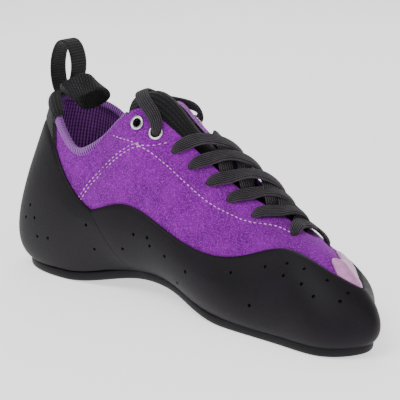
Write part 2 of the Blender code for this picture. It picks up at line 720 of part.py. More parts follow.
def make_lace(finish):
    """The lace's crossings over the throat, joined where they pass each other."""
    count = len(HOLE_STATIONS)
    pieces = [(-1, count - 1, count - 1)]
    for number in range(1, count - 1):
        pieces += [(-1, number, number + 1), (1, number, number + 1)]
    pieces.append((-1, 1, 1))
    body = None
    for side, number, last in pieces:
        points, ups = strand_path(side, number, last)
        knots = np.concatenate([[0.0], np.cumsum(np.linalg.norm(np.diff(points, axis=0), axis=1))])
        where = np.linspace(0.0, knots[-1], LACE_STEPS + 1)
        path, up = Spline(knots, points)(where), Spline(knots, ups)(where)
        along = np.gradient(path, axis=0)
        wide = np.cross(along, up)
        wide /= np.linalg.norm(wide, axis=1, keepdims=True)
        deep = np.cross(wide, along)
        deep /= np.linalg.norm(deep, axis=1, keepdims=True)
        half = np.full(len(path), 0.5)
        name = f"strand_{side}_{number}_{last}" if body else "lace"
        made = tube(name, path, wide, deep, half * LACE_WIDTH, half * LACE_THICK, finish, sides=6)
        if body is None:
            body = made
            continue
        made.hide_render = True
        made.display_type = "WIRE"
        join = body.modifiers.new(name, "BOOLEAN")
        join.operation = "UNION"
        join.object = made
    return flatten(body)


def main():
    clear_scene()
    suede = material("suede", (0.26, 0.05, 0.38), 0.92)
    rubber = material("rubber", (0.020, 0.018, 0.021), 0.62)
    board = material("board", (0.20, 0.09, 0.25), 0.9)
    mesh = material("mesh", (0.22, 0.07, 0.30), 0.9)
    smooth_patch = material("smooth_patch", (0.43, 0.22, 0.41), 0.35)
    webbing = material("webbing", (0.022, 0.020, 0.024), 0.8)
    metal = material("metal", (0.72, 0.70, 0.70), 0.25, 1.0)
    cut_holes(make_upper(suede))
    make_outsole(rubber)
    make_insole(board)
    make_tongue(webbing)
    make_rands(rubber)
    make_patch(smooth_patch)
    make_roll(mesh)
    make_tape(webbing)
    make_loop("pull_loop_rear", REAR_LOOP, REAR_AXIS, webbing)
    make_loop("pull_loop_front", FRONT_LOOP, FRONT_AXIS, webbing)
    for number in range(METAL_PAIRS):
        make_eyelet(f"eyelet_in_{number + 1}", -1, number, metal)
        make_eyelet(f"eyelet_out_{number + 1}", 1, number, metal)
    make_lace(webbing)


if __name__ == "__main__":
    main()
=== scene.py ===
import logging
import math
from collections.abc import Callable, Sequence
from dataclasses import dataclass, field
from enum import Enum
from typing import Any

import bmesh
import bpy
import numpy as np
from mathutils import Matrix, Vector


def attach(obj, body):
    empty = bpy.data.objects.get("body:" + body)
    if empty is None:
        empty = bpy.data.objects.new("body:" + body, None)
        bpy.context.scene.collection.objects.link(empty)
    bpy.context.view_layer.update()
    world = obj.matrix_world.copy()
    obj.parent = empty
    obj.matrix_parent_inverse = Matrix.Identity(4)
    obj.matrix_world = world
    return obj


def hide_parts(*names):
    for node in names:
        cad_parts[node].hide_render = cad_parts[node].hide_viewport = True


logging.basicConfig(level=logging.INFO, format="%(message)s")
LOG = logging.getLogger("shoe")

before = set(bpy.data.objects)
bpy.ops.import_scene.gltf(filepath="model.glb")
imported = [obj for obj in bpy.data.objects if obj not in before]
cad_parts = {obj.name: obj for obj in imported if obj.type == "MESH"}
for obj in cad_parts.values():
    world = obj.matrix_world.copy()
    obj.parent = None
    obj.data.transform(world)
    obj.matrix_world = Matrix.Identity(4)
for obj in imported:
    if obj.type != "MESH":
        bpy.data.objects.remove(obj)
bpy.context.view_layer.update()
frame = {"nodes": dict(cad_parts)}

Grid = np.ndarray
Rgba = tuple[float, float, float, float]
Place = tuple[float, float]
Spot = tuple[float, float, float]
Stop = tuple[Grid, Grid, float]
Finish = bpy.types.Material
Piece = bpy.types.Object


class Side(Enum):
    """The two sides of the left shoe."""

    IN = -1
    OUT = 1


@dataclass(frozen=True)
class Sizes:
    """The shoe's own sizes, in metres."""

    length: float = 0.235
    ball_half: float = 0.044
    heel_half: float = 0.031
    heel_height: float = 0.086
    instep_height: float = 0.094
    heel_seat: float = 0.145
    gap: float = 0.0003
    foot_gap: float = 0.0005
    upper_wall: float = 0.0018
    rand_wall: float = 0.0020
    patch_wall: float = 0.0011
    sole_wall: float = 0.0050
    sole_proud: float = 0.0004
    insole_wall: float = 0.0025
    tongue_wall: float = 0.0028
    tongue_drop: float = 0.0014
    tongue_tuck: float = 0.0120
    roll_radius: float = 0.0023
    roll_front_radius: float = 0.0010
    arch_inner: float = 0.0098
    arch_outer: float = 0.0040
    arch_start: float = 0.19
    arch_end: float = 0.66
    toe_spring: float = 0.0030
    toe_spring_start: float = 0.88
    heel_spring: float = 0.0015
    heel_spring_end: float = 0.05
    spring_limit: float = 1.2
    hole_radius: float = 0.0020
    hole_inset: float = 0.0075
    eyelet_radius: float = 0.0037
    eyelet_bore: float = 0.0021
    eyelet_tube: float = 0.0027
    eyelet_flange: float = 0.0008
    lace_width: float = 0.0070
    lace_thick: float = 0.0021
    tape_width: float = 0.0110
    tape_thick: float = 0.0014


SIZES = Sizes()


@dataclass(frozen=True)
class Row:
    """One upright section of the last, as shares of a half width and a height."""

    name: str
    frame: Place
    foot: Place
    low: tuple[float, float, float]
    high: tuple[float, float, float]
    edge: tuple[float, float, float]


HEEL = (SIZES.heel_half, SIZES.heel_height)
BALL = (SIZES.ball_half, SIZES.instep_height)
SECTIONS = (
    Row("heel_back", HEEL, (0.030, 0.00), (0.000, 0.00, 0.25), (0.016, 0.00, 0.60), (0.060, 0.00, 1.00)),
    Row("heel_turn_in", HEEL, (0.055, -0.6), (0.03, -0.72, 0.26), (0.054, -0.60, 0.60), (0.101, -0.46, 0.97)),
    Row("heel_in", HEEL, (0.145, -0.88), (0.135, -1.00, 0.27), (0.145, -0.92, 0.56), (0.165, -0.76, 0.87)),
    Row("dip_in", HEEL, (0.255, -0.84), (0.250, -1.03, 0.32), (0.255, -0.98, 0.54), (0.240, -0.82, 0.78)),
    Row("rise_in", BALL, (0.330, -0.52), (0.320, -0.72, 0.33), (0.320, -0.68, 0.56), (0.295, -0.44, 0.86)),
    Row("tab_in", BALL, (0.375, -0.48), (0.370, -0.71, 0.33), (0.375, -0.64, 0.62), (0.365, -0.34, 0.995)),
    Row("throat_in", BALL, (0.420, -0.48), (0.420, -0.70, 0.33), (0.420, -0.62, 0.60), (0.425, -0.26, 0.93)),
    Row("waist_in", BALL, (0.490, -0.52), (0.490, -0.72, 0.30), (0.485, -0.62, 0.55), (0.500, -0.22, 0.815)),
    Row("joint_in", BALL, (0.580, -0.66), (0.580, -0.78, 0.25), (0.575, -0.62, 0.47), (0.600, -0.20, 0.67)),
    Row("ball_in", BALL, (0.690, -0.75), (0.690, -0.82, 0.19), (0.680, -0.62, 0.41), (0.690, -0.18, 0.585)),
    Row("toes_in", BALL, (0.822, -0.78), (0.825, -0.81, 0.19), (0.780, -0.58, 0.41), (0.750, -0.15, 0.525)),
    Row("corner_in", BALL, (0.936, -0.73), (0.937, -0.73, 0.19), (0.875, -0.52, 0.38), (0.785, -0.12, 0.480)),
    Row("toe_tip", BALL, (0.972, -0.50), (0.977, -0.46, 0.19), (0.908, -0.34, 0.355), (0.797, -0.03, 0.455)),
    Row("corner_out", BALL, (0.926, -0.15), (0.932, -0.11, 0.19), (0.87, -0.05, 0.335), (0.787, 0.06, 0.445)),
    Row("toes_out", BALL, (0.850, 0.35), (0.856, 0.40, 0.185), (0.798, 0.30, 0.345), (0.748, 0.12, 0.475)),
    Row("ball_out", BALL, (0.720, 0.82), (0.725, 0.89, 0.175), (0.690, 0.62, 0.375), (0.688, 0.15, 0.555)),
    Row("joint_out", BALL, (0.590, 0.97), (0.595, 1.04, 0.21), (0.580, 0.76, 0.46), (0.600, 0.19, 0.665)),
    Row("waist_out", BALL, (0.470, 0.87), (0.470, 0.99, 0.24), (0.475, 0.76, 0.54), (0.500, 0.21, 0.81)),
    Row("throat_out", BALL, (0.410, 0.79), (0.415, 0.91, 0.26), (0.415, 0.75, 0.58), (0.425, 0.25, 0.925)),
    Row("tab_out", BALL, (0.365, 0.74), (0.365, 0.87, 0.27), (0.370, 0.74, 0.61), (0.365, 0.33, 0.985)),
    Row("rise_out", BALL, (0.315, 0.69), (0.310, 0.81, 0.27), (0.315, 0.74, 0.55), (0.295, 0.44, 0.86)),
    Row("dip_out", HEEL, (0.250, 0.90), (0.245, 1.06, 0.29), (0.248, 0.99, 0.53), (0.235, 0.82, 0.75)),
    Row("heel_out", HEEL, (0.145, 0.88), (0.135, 1.00, 0.27), (0.145, 0.92, 0.56), (0.165, 0.76, 0.87)),
    Row("heel_turn_out", HEEL, (0.055, 0.60), (0.030, 0.72, 0.26), (0.054, 0.60, 0.60), (0.101, 0.46, 0.97)),
)
NAMES = [row.name for row in SECTIONS]
HEEL_RAND_TOP = (
    ("meet_out", 0.55), ("dip_out", 0.64), ("heel_out", 0.90), ("heel_turn_out", 0.93),
    ("heel_back", 0.93),
    ("heel_turn_in", 0.93), ("heel_in", 0.90), ("dip_in", 0.64), ("meet_in", 0.55),
)
TOE_RAND_TOP = (
    ("meet_in", 0.55), ("rise_in", 0.55), ("throat_in", 0.55), ("joint_in", 0.52), ("ball_in", 0.61),
    ("toes_in", 0.72), ("corner_in", 0.69), ("toe_tip", 0.58), ("corner_out", 0.50),
    ("toes_out", 0.50), ("ball_out", 0.52), ("joint_out", 0.52), ("throat_out", 0.54),
    ("rise_out", 0.54), ("meet_out", 0.55),
)
MEET_TOP = {"meet_in": 3.48, "meet_out": 20.52}
MEET_FOOT = {"meet_in": 5.40, "meet_out": 18.60}
HOLE_STATIONS = (5.00, 5.80, 6.55, 7.15, 7.65, 8.20, 8.90, 10.30)
METAL_PAIRS = 2
# The steps that the last's directions are measured over: below its edge, up its wall and round it.
EDGE_STEP = 0.02
UP_STEP = 0.01
ROUND_STEP = 0.002
WHITE = (1.0, 1.0, 1.0, 1.0)
# Points of a mesh that are nearer than this are one.
WELD = 2e-6
SHARP_ANGLE = math.radians(50.0)
# How far a drill's two ends differ from its radius
DRILL_FLARE = 0.3
# The middle lines of the two loops, from the back of the collar's edge.
REAR_LOOP = (
    (0.0021, 0.0, 0.0059), (-0.0003, 0.0, 0.0130), (-0.0001, 0.0, 0.0220), (0.0031, 0.0, 0.0300),
    (0.0079, 0.0, 0.0328), (0.0129, 0.0, 0.0290), (0.0149, 0.0, 0.0200), (0.0121, 0.0, 0.0110),
    (0.0067, 0.0, 0.0052),
)
FRONT_LOOP = (
    (0.0149, -0.0080, 0.0065), (0.0174, -0.0100, 0.0085), (0.0194, -0.0100, 0.0095),
    (0.0254, -0.0060, 0.0130), (0.0284, 0.0005, 0.0120), (0.0264, 0.0050, 0.0075),
    (0.0209, 0.0055, 0.0040), (0.0179, 0.0030, 0.0020), (0.0152, -0.0025, 0.0025),
)
# Stitched lines of the inner side, as section number and share of the way up.
STAY_SEAM = (
    (4.18, 0.95), (4.60, 0.89), (5.20, 0.85), (5.80, 0.85), (6.40, 0.85), (7.00, 0.84), (7.60, 0.83),
    (8.05, 0.83), (8.45, 0.84), (8.90, 0.85), (9.50, 0.88), (10.10, 0.88),
)
QUARTER_SEAM = (
    (5.20, 0.85), (4.75, 0.835), (4.35, 0.83), (4.00, 0.825), (3.65, 0.81), (3.30, 0.78), (3.05, 0.72),
    (2.92, 0.66),
)
EYELET_SEAM = ((5.20, 0.85), (5.50, 0.86), (5.80, 0.88), (6.00, 0.90), (6.20, 0.93))


def paint(red: float, green: float, blue: float) -> Rgba:
    """The shader's colour for one that is named by its 0 to 255 screen values."""

    def linear(value: float) -> float:
        share = value / 255.0
        return share / 12.92 if share <= 0.04045 else ((share + 0.055) / 1.055) ** 2.4

    return linear(red), linear(green), linear(blue), 1.0


def ease(value: Grid | float) -> Grid | float:
    """A step from 0 to 1 with level ends."""
    held = np.clip(value, 0.0, 1.0)
    return held * held * (3.0 - 2.0 * held)


def unit(vectors: Grid) -> Grid:
    """The vectors at length one."""
    return vectors / np.maximum(np.linalg.norm(vectors, axis=-1, keepdims=True), 1e-12)


class Spline:
    """A curve with even curvature through points, closed or open."""

    def __init__(self, knots: Any, points: Any, closed: bool = False) -> None:
        """Keeps the knots and finds the bends.

        Args:
            knots: The value at each point, and the value where a closed curve ends.
            points: The points, in any number of columns.
            closed: Whether the curve comes back to its first point.
        """
        self.knots = np.asarray(knots, float)
        self.points = np.asarray(points, float)
        self.closed = closed
        count = len(self.points)
        steps = np.diff(self.knots)
        matrix = np.eye(count)
        right = np.zeros_like(self.points)
        for i in range(0 if closed else 1, count if closed else count - 1):
            before, after = steps[i - 1], steps[i]
            left, ahead = (i - 1) % count, (i + 1) % count
            matrix[i, i] = 2.0 * (before + after)
            matrix[i, left] += before
            matrix[i, ahead] += after
            rise = (self.points[ahead] - self.points[i]) / after
            fall = (self.points[i] - self.points[left]) / before
            right[i] = 6.0 * (rise - fall)
        self.bends = np.linalg.solve(matrix, right.reshape(count, -1)).reshape(right.shape)

    def __call__(self, where: Any) -> Grid:
        """The points at the values in where."""
        where = np.asarray(where, float)
        if self.closed:
            span = self.knots[-1] - self.knots[0]
            where = self.knots[0] + np.mod(where - self.knots[0], span)
        i = np.clip(np.searchsorted(self.knots, where, side="right") - 1, 0, len(self.knots) - 2)
        j = (i + 1) % len(self.points)
        step = self.knots[i + 1] - self.knots[i]
        far = (where - self.knots[i]) / step
        near = 1.0 - far
        shape = where.shape + (1,) * (self.points.ndim - 1)
        far, near, step = far.reshape(shape), near.reshape(shape), step.reshape(shape)
        bend = (near**3 - near) * self.bends[i] + (far**3 - far) * self.bends[j]
        return near * self.points[i] + far * self.points[j] + step**2 / 6.0 * bend


def ground(x: Grid, y: Grid) -> Grid:
    """The height of the sole's underside over the floor."""
    along = x / SIZES.length + SIZES.heel_seat
    span = SIZES.arch_end - SIZES.arch_start
    hump = np.sin(np.pi * np.clip((along - SIZES.arch_start) / span, 0.0, 1.0)) ** 2
    side = np.clip(0.5 - 0.5 * y / SIZES.ball_half, 0.0, 1.0)
    arch = hump * (SIZES.arch_outer + (SIZES.arch_inner - SIZES.arch_outer) * side)
    past_toe = (along - SIZES.toe_spring_start) / (1.0 - SIZES.toe_spring_start)
    before_heel = (SIZES.heel_spring_end - along) / SIZES.heel_spring_end
    toe = SIZES.toe_spring * np.clip(past_toe, 0.0, SIZES.spring_limit) ** 2
    heel = SIZES.heel_spring * np.clip(before_heel, 0.0, SIZES.spring_limit) ** 2
    return arch + toe + heel


class Last:
    """The upper's outer face as a function of the way round and the way up."""

    def __init__(self) -> None:
        """Runs closed curves through the sections."""
        rails = np.array([self.through(row) for row in SECTIONS])
        step = np.linalg.norm(np.roll(rails, -1, axis=0) - rails, axis=2).mean(axis=1)
        half = len(SECTIONS) // 2
        knots = [0.0]
        for i, length in enumerate(step):
            whole = step[:half].sum() if i < half else step[half:].sum()
            knots.append(knots[-1] + 0.5 * length / whole)
        self.knots = np.array(knots)
        self.rails = Spline(self.knots, rails, closed=True)

    @staticmethod
    def through(row: Row) -> list[tuple[float, float, float]]:
        """The four points that one section's wall passes."""
        wide, tall = row.frame
        foot_x = (row.foot[0] - SIZES.heel_seat) * SIZES.length
        foot_y = row.foot[1] * wide
        lift = float(ground(np.array(foot_x), np.array(foot_y))) + SIZES.sole_wall + SIZES.foot_gap
        rest = [
            ((p[0] - SIZES.heel_seat) * SIZES.length, p[1] * wide, p[2] * tall)
            for p in (row.low, row.high, row.edge)
        ]
        return [(foot_x, foot_y, lift), *rest]

    def around(self, station: Any) -> Grid:
        """The way round at a section's number, which may lie between two sections."""
        count = len(SECTIONS)
        station = np.asarray(station, float)
        turns = np.floor(station / count)
        return turns + np.interp(station - turns * count, np.arange(count + 1), self.knots)

    def point(self, a: Any, b: Any) -> Grid:
        """The outer face at a round the shoe and b up the wall, both 0 to 1."""
        a, b = np.broadcast_arrays(np.asarray(a, float), np.asarray(b, float))
        p = self.rails(a)
        b = b[..., None]
        f, low, high, edge = (p[..., k, :] for k in range(4))
        first = (-5.0 * f + 18.0 * low - 9.0 * high + 2.0 * edge) / 6.0
        second = (2.0 * f - 9.0 * low + 18.0 * high - 5.0 * edge) / 6.0
        c = 1.0 - b
        return c**3 * f + 3.0 * c * c * b * first + 3.0 * c * b * b * second + b**3 * edge

    def reach(self, a: Any) -> Grid:
        """How long the wall is at its edge, for each unit of the way up."""
        return np.linalg.norm(self.point(a, 1.0) - self.point(a, 1.0 - EDGE_STEP), axis=-1) / EDGE_STEP

    def rise(self, a: Any) -> Grid:
        """The direction up the wall at its edge."""
        return unit(self.point(a, 1.0) - self.point(a, 1.0 - EDGE_STEP))

    def normal(self, a: Any, b: Any) -> Grid:
        """The outward direction there."""
        a, b = np.broadcast_arrays(np.asarray(a, float), np.asarray(b, float))
        high, low = np.clip(b + UP_STEP, 0.0, 1.0), np.clip(b - UP_STEP, 0.0, 1.0)
        up = self.point(a, high) - self.point(a, low)
        along = self.point(a + ROUND_STEP, b) - self.point(a - ROUND_STEP, b)
        return unit(np.cross(along, up))

    def rim(self, a: Any, out: Any) -> Grid:
        """The foot's line, moved outward over the floor."""
        a = np.asarray(a, float)
        along = self.point(a + ROUND_STEP, 0.0) - self.point(a - ROUND_STEP, 0.0)
        side = np.stack([along[..., 1], -along[..., 0], np.zeros_like(a)], axis=-1)
        return self.point(a, 0.0) + np.asarray(out, float)[..., None] * unit(side)

    def at(self, a: Any, b: Any, lift: Any) -> Grid:
        """A point at a height over the outer face. The lowest row stands on the outsole.

        Args:
            a: The way round.
            b: The way up.
            lift: The height over the outer face, in metres.

        Returns:
            The points, with one more axis than the inputs.
        """
        a, b = np.broadcast_arrays(np.asarray(a, float), np.asarray(b, float))
        lift = np.asarray(lift, float) + 0.0 * a
        p = self.point(a, b) + lift[..., None] * self.normal(a, b)
        foot = self.rim(a, np.where(lift > 0.0, np.maximum(lift + SIZES.gap, 3.0 * SIZES.gap), lift))
        foot[..., 2] = ground(foot[..., 0], foot[..., 1]) + SIZES.sole_wall + SIZES.foot_gap
        return np.where((b <= 0.0)[..., None], foot, p)


LAST = Last()


def line_of(table: Sequence[tuple[str, float]]) -> Spline:
    """An open curve over the way round from a table of section names and shares."""
    stations = [MEET_TOP[n] if n in MEET_TOP else float(NAMES.index(n)) for n, _ in table]
    for i in range(1, len(stations)):
        while stations[i] < stations[i - 1]:
            stations[i] += len(SECTIONS)
    return Spline(LAST.around(stations), [share for _, share in table])


HEEL_TOP = line_of(HEEL_RAND_TOP)
TOE_TOP = line_of(TOE_RAND_TOP)


def heel_top(a: Grid) -> Grid:
    """The share of the heel rand's upper edge, also for ways round that are below 0."""
    return HEEL_TOP(np.where(a < HEEL_TOP.knots[0], a + 1.0, a))


def feed(tree: bpy.types.NodeTree, node: bpy.types.Node, values: dict[Any, Any]) -> None:
    """Sets or links a node's inputs.

    Args:
        tree: The node's tree.
        node: The node.
        values: For each input, by number or name, a number, a colour, a material, a socket or a Tone.
    """
    for name, value in values.items():
        value = getattr(value, "socket", value)
        if isinstance(value, bpy.types.NodeSocket):
            tree.links.new(value, node.inputs[name])
        else:
            node.inputs[name].default_value = value


def add_node(
    tree: bpy.types.NodeTree, kind: str, settings: dict[str, Any] | None = None,
    values: dict[Any, Any] | None = None,
) -> bpy.types.Node:
    """Adds one node to a tree.

    Args:
        tree: The tree.
        kind: The node's type.
        settings: Its properties.
        values: Its inputs, as in feed.

    Returns:
        The node.
    """
    made = tree.nodes.new(kind)
    for name, value in (settings or {}).items():
        setattr(made, name, value)
    feed(tree, made, values or {})
    return made


class Tone:
    """A shader socket that takes part in Python arithmetic."""

    def __init__(self, recipe: "Recipe", socket: Any) -> None:
        """Keeps the socket with the recipe that it belongs to."""
        self.recipe = recipe
        self.socket = socket

    def math(self, operation: str, *others: Any) -> "Tone":
        """A Math node on this value and others."""
        node = self.recipe.node("ShaderNodeMath", {"operation": operation}, dict(enumerate((self, *others))))
        return Tone(self.recipe, node.outputs[0])

    def __add__(self, other: Any) -> "Tone":
        """The sum."""
        return self.math("ADD", other)

    def __mul__(self, other: Any) -> "Tone":
        """The product."""
        return self.math("MULTIPLY", other)

    def sine(self) -> "Tone":
        """The sine."""
        return self.math("SINE")

    def step(self, low: float, high: float) -> "Tone":
        """A smooth step from 0 at low to 1 at high."""
        node = self.recipe.node(
            "ShaderNodeMapRange", {"interpolation_type": "SMOOTHSTEP"}, {0: self, 1: low, 2: high}
        )
        return Tone(self.recipe, node.outputs[0])


class Recipe:
    """A material under construction."""

    def __init__(self, name: str) -> None:
        """Makes an empty material with its Principled shader."""
        self.made = bpy.data.materials.new(name)
        self.made.use_nodes = True
        self.tree = self.made.node_tree
        self.shader = self.tree.nodes["Principled BSDF"]
        place = self.node("ShaderNodeTexCoord", {}, {})
        self.place = Tone(self, place.outputs["Object"])
        self.own = Tone(self, place.outputs["UV"])

    def node(self, kind: str, settings: dict[str, Any], values: dict[Any, Any]) -> bpy.types.Node:
        """Adds one node to the material, with its properties and inputs."""
        return add_node(self.tree, kind, settings, values)

    def noise(self, scale: float, detail: float, rough: float, where: Tone | None = None) -> Tone:
        """Soft noise, its scale in lumps a metre."""
        values = {"Vector": where or self.place, "Scale": scale, "Detail": detail, "Roughness": rough}
        return Tone(self, self.node("ShaderNodeTexNoise", {}, values).outputs[0])

    def cells(self, scale: float) -> Tone:
        """The distance to the nearest of scattered points."""
        values = {"Vector": self.place, "Scale": scale}
        return Tone(self, self.node("ShaderNodeTexVoronoi", {}, values).outputs["Distance"])

    def stretch(self, where: Tone, scale: tuple[float, float, float]) -> Tone:
        """The coordinates times a scale for each axis."""
        values = {0: where, 1: scale}
        return Tone(self, self.node("ShaderNodeVectorMath", {"operation": "MULTIPLY"}, values).outputs[0])

    def lengths(self) -> tuple[Tone, Tone]:
        """The metres along the piece and across it."""
        split = self.node("ShaderNodeSeparateXYZ", {}, {0: self.own})
        return Tone(self, split.outputs[0]), Tone(self, split.outputs[1])

    def ribs(self, way: Tone, pitch: float) -> Tone:
        """A wave of height 1 each side of 0 along a way, in metres."""
        return (way * (2.0 * math.pi / pitch)).sine()

    def blend(self, share: Tone | float, first: Tone | Rgba, second: Tone | Rgba) -> Tone:
        """A colour between two, by a share."""
        node = self.node("ShaderNodeMix", {"data_type": "RGBA"}, {0: share, 6: first, 7: second})
        return Tone(self, node.outputs[2])

    def finish(self, colour: Tone, rough: Tone | float, height: Tone, depth: float, **fixed: Any) -> Finish:
        """Fills the shader and closes the material.

        Args:
            colour: The base colour.
            rough: The roughness.
            height: The relief from 0 to 1.
            depth: The relief's depth in metres.
            fixed: Other inputs, by name with _ for a space, that are the same all over.

        Returns:
            The material.
        """
        bump = self.node("ShaderNodeBump", {}, {"Height": height, "Distance": depth, "Strength": 1.0})
        values = {"Base Color": colour, "Roughness": rough, "Normal": bump.outputs[0]}
        values.update({name.replace("_", " "): value for name, value in fixed.items()})
        feed(self.tree, self.shader, values)
        return self.made


@dataclass(frozen=True)
class Suede:
    """Napped leather with mottled tone and fine grain."""

    name: str = "suede"
    deep: Rgba = paint(86, 0, 106)
    body: Rgba = paint(118, 0, 142)
    light: Rgba = paint(176, 44, 206)

    def make(self) -> Finish:
        """The material."""
        r = Recipe(self.name)
        cloud = r.noise(70.0, 3.0, 0.6)
        nap = r.noise(1300.0, 4.0, 0.7)
        fibre = r.noise(2600.0, 2.0, 0.6, r.stretch(r.place, (0.6, 1.0, 1.6)))
        tone = r.blend(cloud.step(0.3, 0.7), self.deep, self.body)
        height = nap * 0.6 + fibre * 0.4
        tone = r.blend(height.step(0.46, 0.62) * 0.8, tone, self.light)
        return r.finish(
            tone, 0.93, height, 0.00050, Sheen_Weight=0.30, Sheen_Roughness=0.5,
            Sheen_Tint=paint(220, 150, 235), Specular_IOR_Level=0.15,
        )


@dataclass(frozen=True)
class Mottled:
    """A plain finish that wanders between two tones, with fine relief."""

    name: str
    deep: Rgba
    light: Rgba
    rough: float = 0.9
    swing: float = 0.0
    mottle: tuple[float, float, float] = (300.0, 3.0, 0.6)
    span: tuple[float, float] | None = None
    grain: tuple[float, float, float] | None = None
    depth: float = 0.0002
    metal: float = 0.0

    def make(self) -> Finish:
        """The material."""
        r = Recipe(self.name)
        cloud = r.noise(*self.mottle)
        grain = r.noise(*self.grain) if self.grain else cloud
        share = cloud.step(*self.span) if self.span else cloud
        rough = cloud * self.swing + self.rough if self.swing else self.rough
        return r.finish(r.blend(share, self.deep, self.light), rough, grain, self.depth, Metallic=self.metal)


RAW_EDGE = Mottled(
    "raw_edge", paint(128, 62, 150), paint(188, 128, 204), 0.95, mottle=(1800.0, 3.0, 0.7), span=(0.35, 0.7)
)
SMOOTH_PATCH = Mottled(
    "toe_patch_finish", paint(178, 104, 170), paint(222, 158, 210), 0.25, 0.2, (160.0, 3.0, 0.6), (0.1, 0.9),
    (1500.0, 2.0, 0.5), 0.00005,
)
METAL = Mottled(
    "eyelet_metal", (0.75, 0.74, 0.74, 1.0), (0.45, 0.44, 0.45, 1.0), 0.15, 0.2, (700.0, 3.0, 0.6),
    (0.45, 0.75), None, 0.00002, 1.0,
)
THREAD = Mottled(
    "thread", paint(190, 110, 200), paint(240, 185, 240), 0.7, mottle=(1500.0, 2.0, 0.5), span=(0.35, 0.65),
    depth=0.0001,
)
BOARD = Mottled("insole_cloth", paint(70, 40, 84), paint(112, 78, 128))
FLOOR = Mottled("floor_white", (0.93, 0.93, 0.93, 1.0), (0.95, 0.95, 0.95, 1.0))


@dataclass(frozen=True)
class MeshCloth:
    """Ribbed knitted mesh. The ribs run across the piece's own length."""

    name: str
    deep: Rgba
    light: Rgba
    pitch: float = 0.0016
    dots: float = 0.0011

    def make(self) -> Finish:
        """The material."""
        r = Recipe(self.name)
        along, across = r.lengths()
        wave = r.ribs(along, self.pitch)
        rib = wave * 0.5 + 0.5
        knit = (across * (2.0 * math.pi / self.dots) + wave * 0.8).sine() * 0.5 + 0.5
        height = rib * 0.7 + knit * 0.3
        wear = r.noise(140.0, 3.0, 0.6)
        tone = r.blend((height * 0.8 + wear * 0.3).step(0.25, 0.85), self.deep, self.light)
        return r.finish(tone, 0.9, height, 0.0003, Sheen_Weight=0.2, Specular_IOR_Level=0.2)


@dataclass(frozen=True)
class Rubber:
    """Matt black rubber with a faint bloom and fine pits."""

    name: str = "rand_rubber"
    deep: Rgba = paint(7, 4, 9)
    body: Rgba = paint(18, 12, 21)
    dusty: Rgba = paint(62, 55, 64)

    def make(self) -> Finish:
        """The material."""
        r = Recipe(self.name)
        cloud = r.noise(45.0, 4.0, 0.6)
        grain = r.noise(1400.0, 3.0, 0.6)
        speck = r.cells(420.0)
        scuff = r.noise(120.0, 5.0, 0.7, r.stretch(r.place, (0.5, 1.0, 2.0)))
        tone = r.blend(cloud.step(0.3, 0.7), self.deep, self.body)
        tone = r.blend(scuff.step(0.62, 0.8) * 0.35, tone, self.dusty)
        rough = cloud * 0.15 + grain * 0.15 + 0.42
        height = grain * 0.6 + speck.step(0.0, 0.4) * 0.4
        return r.finish(tone, rough, height, 0.00012, Specular_IOR_Level=0.22)


@dataclass(frozen=True)
class Webbing:
    """Woven tape with ribs along or across its length."""

    name: str
    pitch: float
    along: bool
    deep: Rgba = paint(10, 9, 11)
    light: Rgba = paint(52, 49, 51)

    def make(self) -> Finish:
        """The material."""
        r = Recipe(self.name)
        along, across = r.lengths()
        main, other = (across, along) if self.along else (along, across)
        rib = r.ribs(main, self.pitch) * 0.5 + 0.5
        bend = r.ribs(main, 2.0 * self.pitch) * 2.5
        weave = (other * (2.0 * math.pi / (1.3 * self.pitch)) + bend).sine()
        height = rib * 0.65 + (weave * 0.5 + 0.5) * 0.35
        worn = r.noise(200.0, 3.0, 0.6)
        tone = r.blend((height * 0.7 + worn * 0.4).step(0.45, 1.0), self.deep, self.light)
        return r.finish(tone, 0.8, height, 0.00028, Sheen_Weight=0.1, Specular_IOR_Level=0.25)


def placed(name: str, data: bpy.types.ID) -> Piece:
    """A new object in the scene with this data."""
    made = bpy.data.objects.new(name, data)
    bpy.context.scene.collection.objects.link(made)
    return made


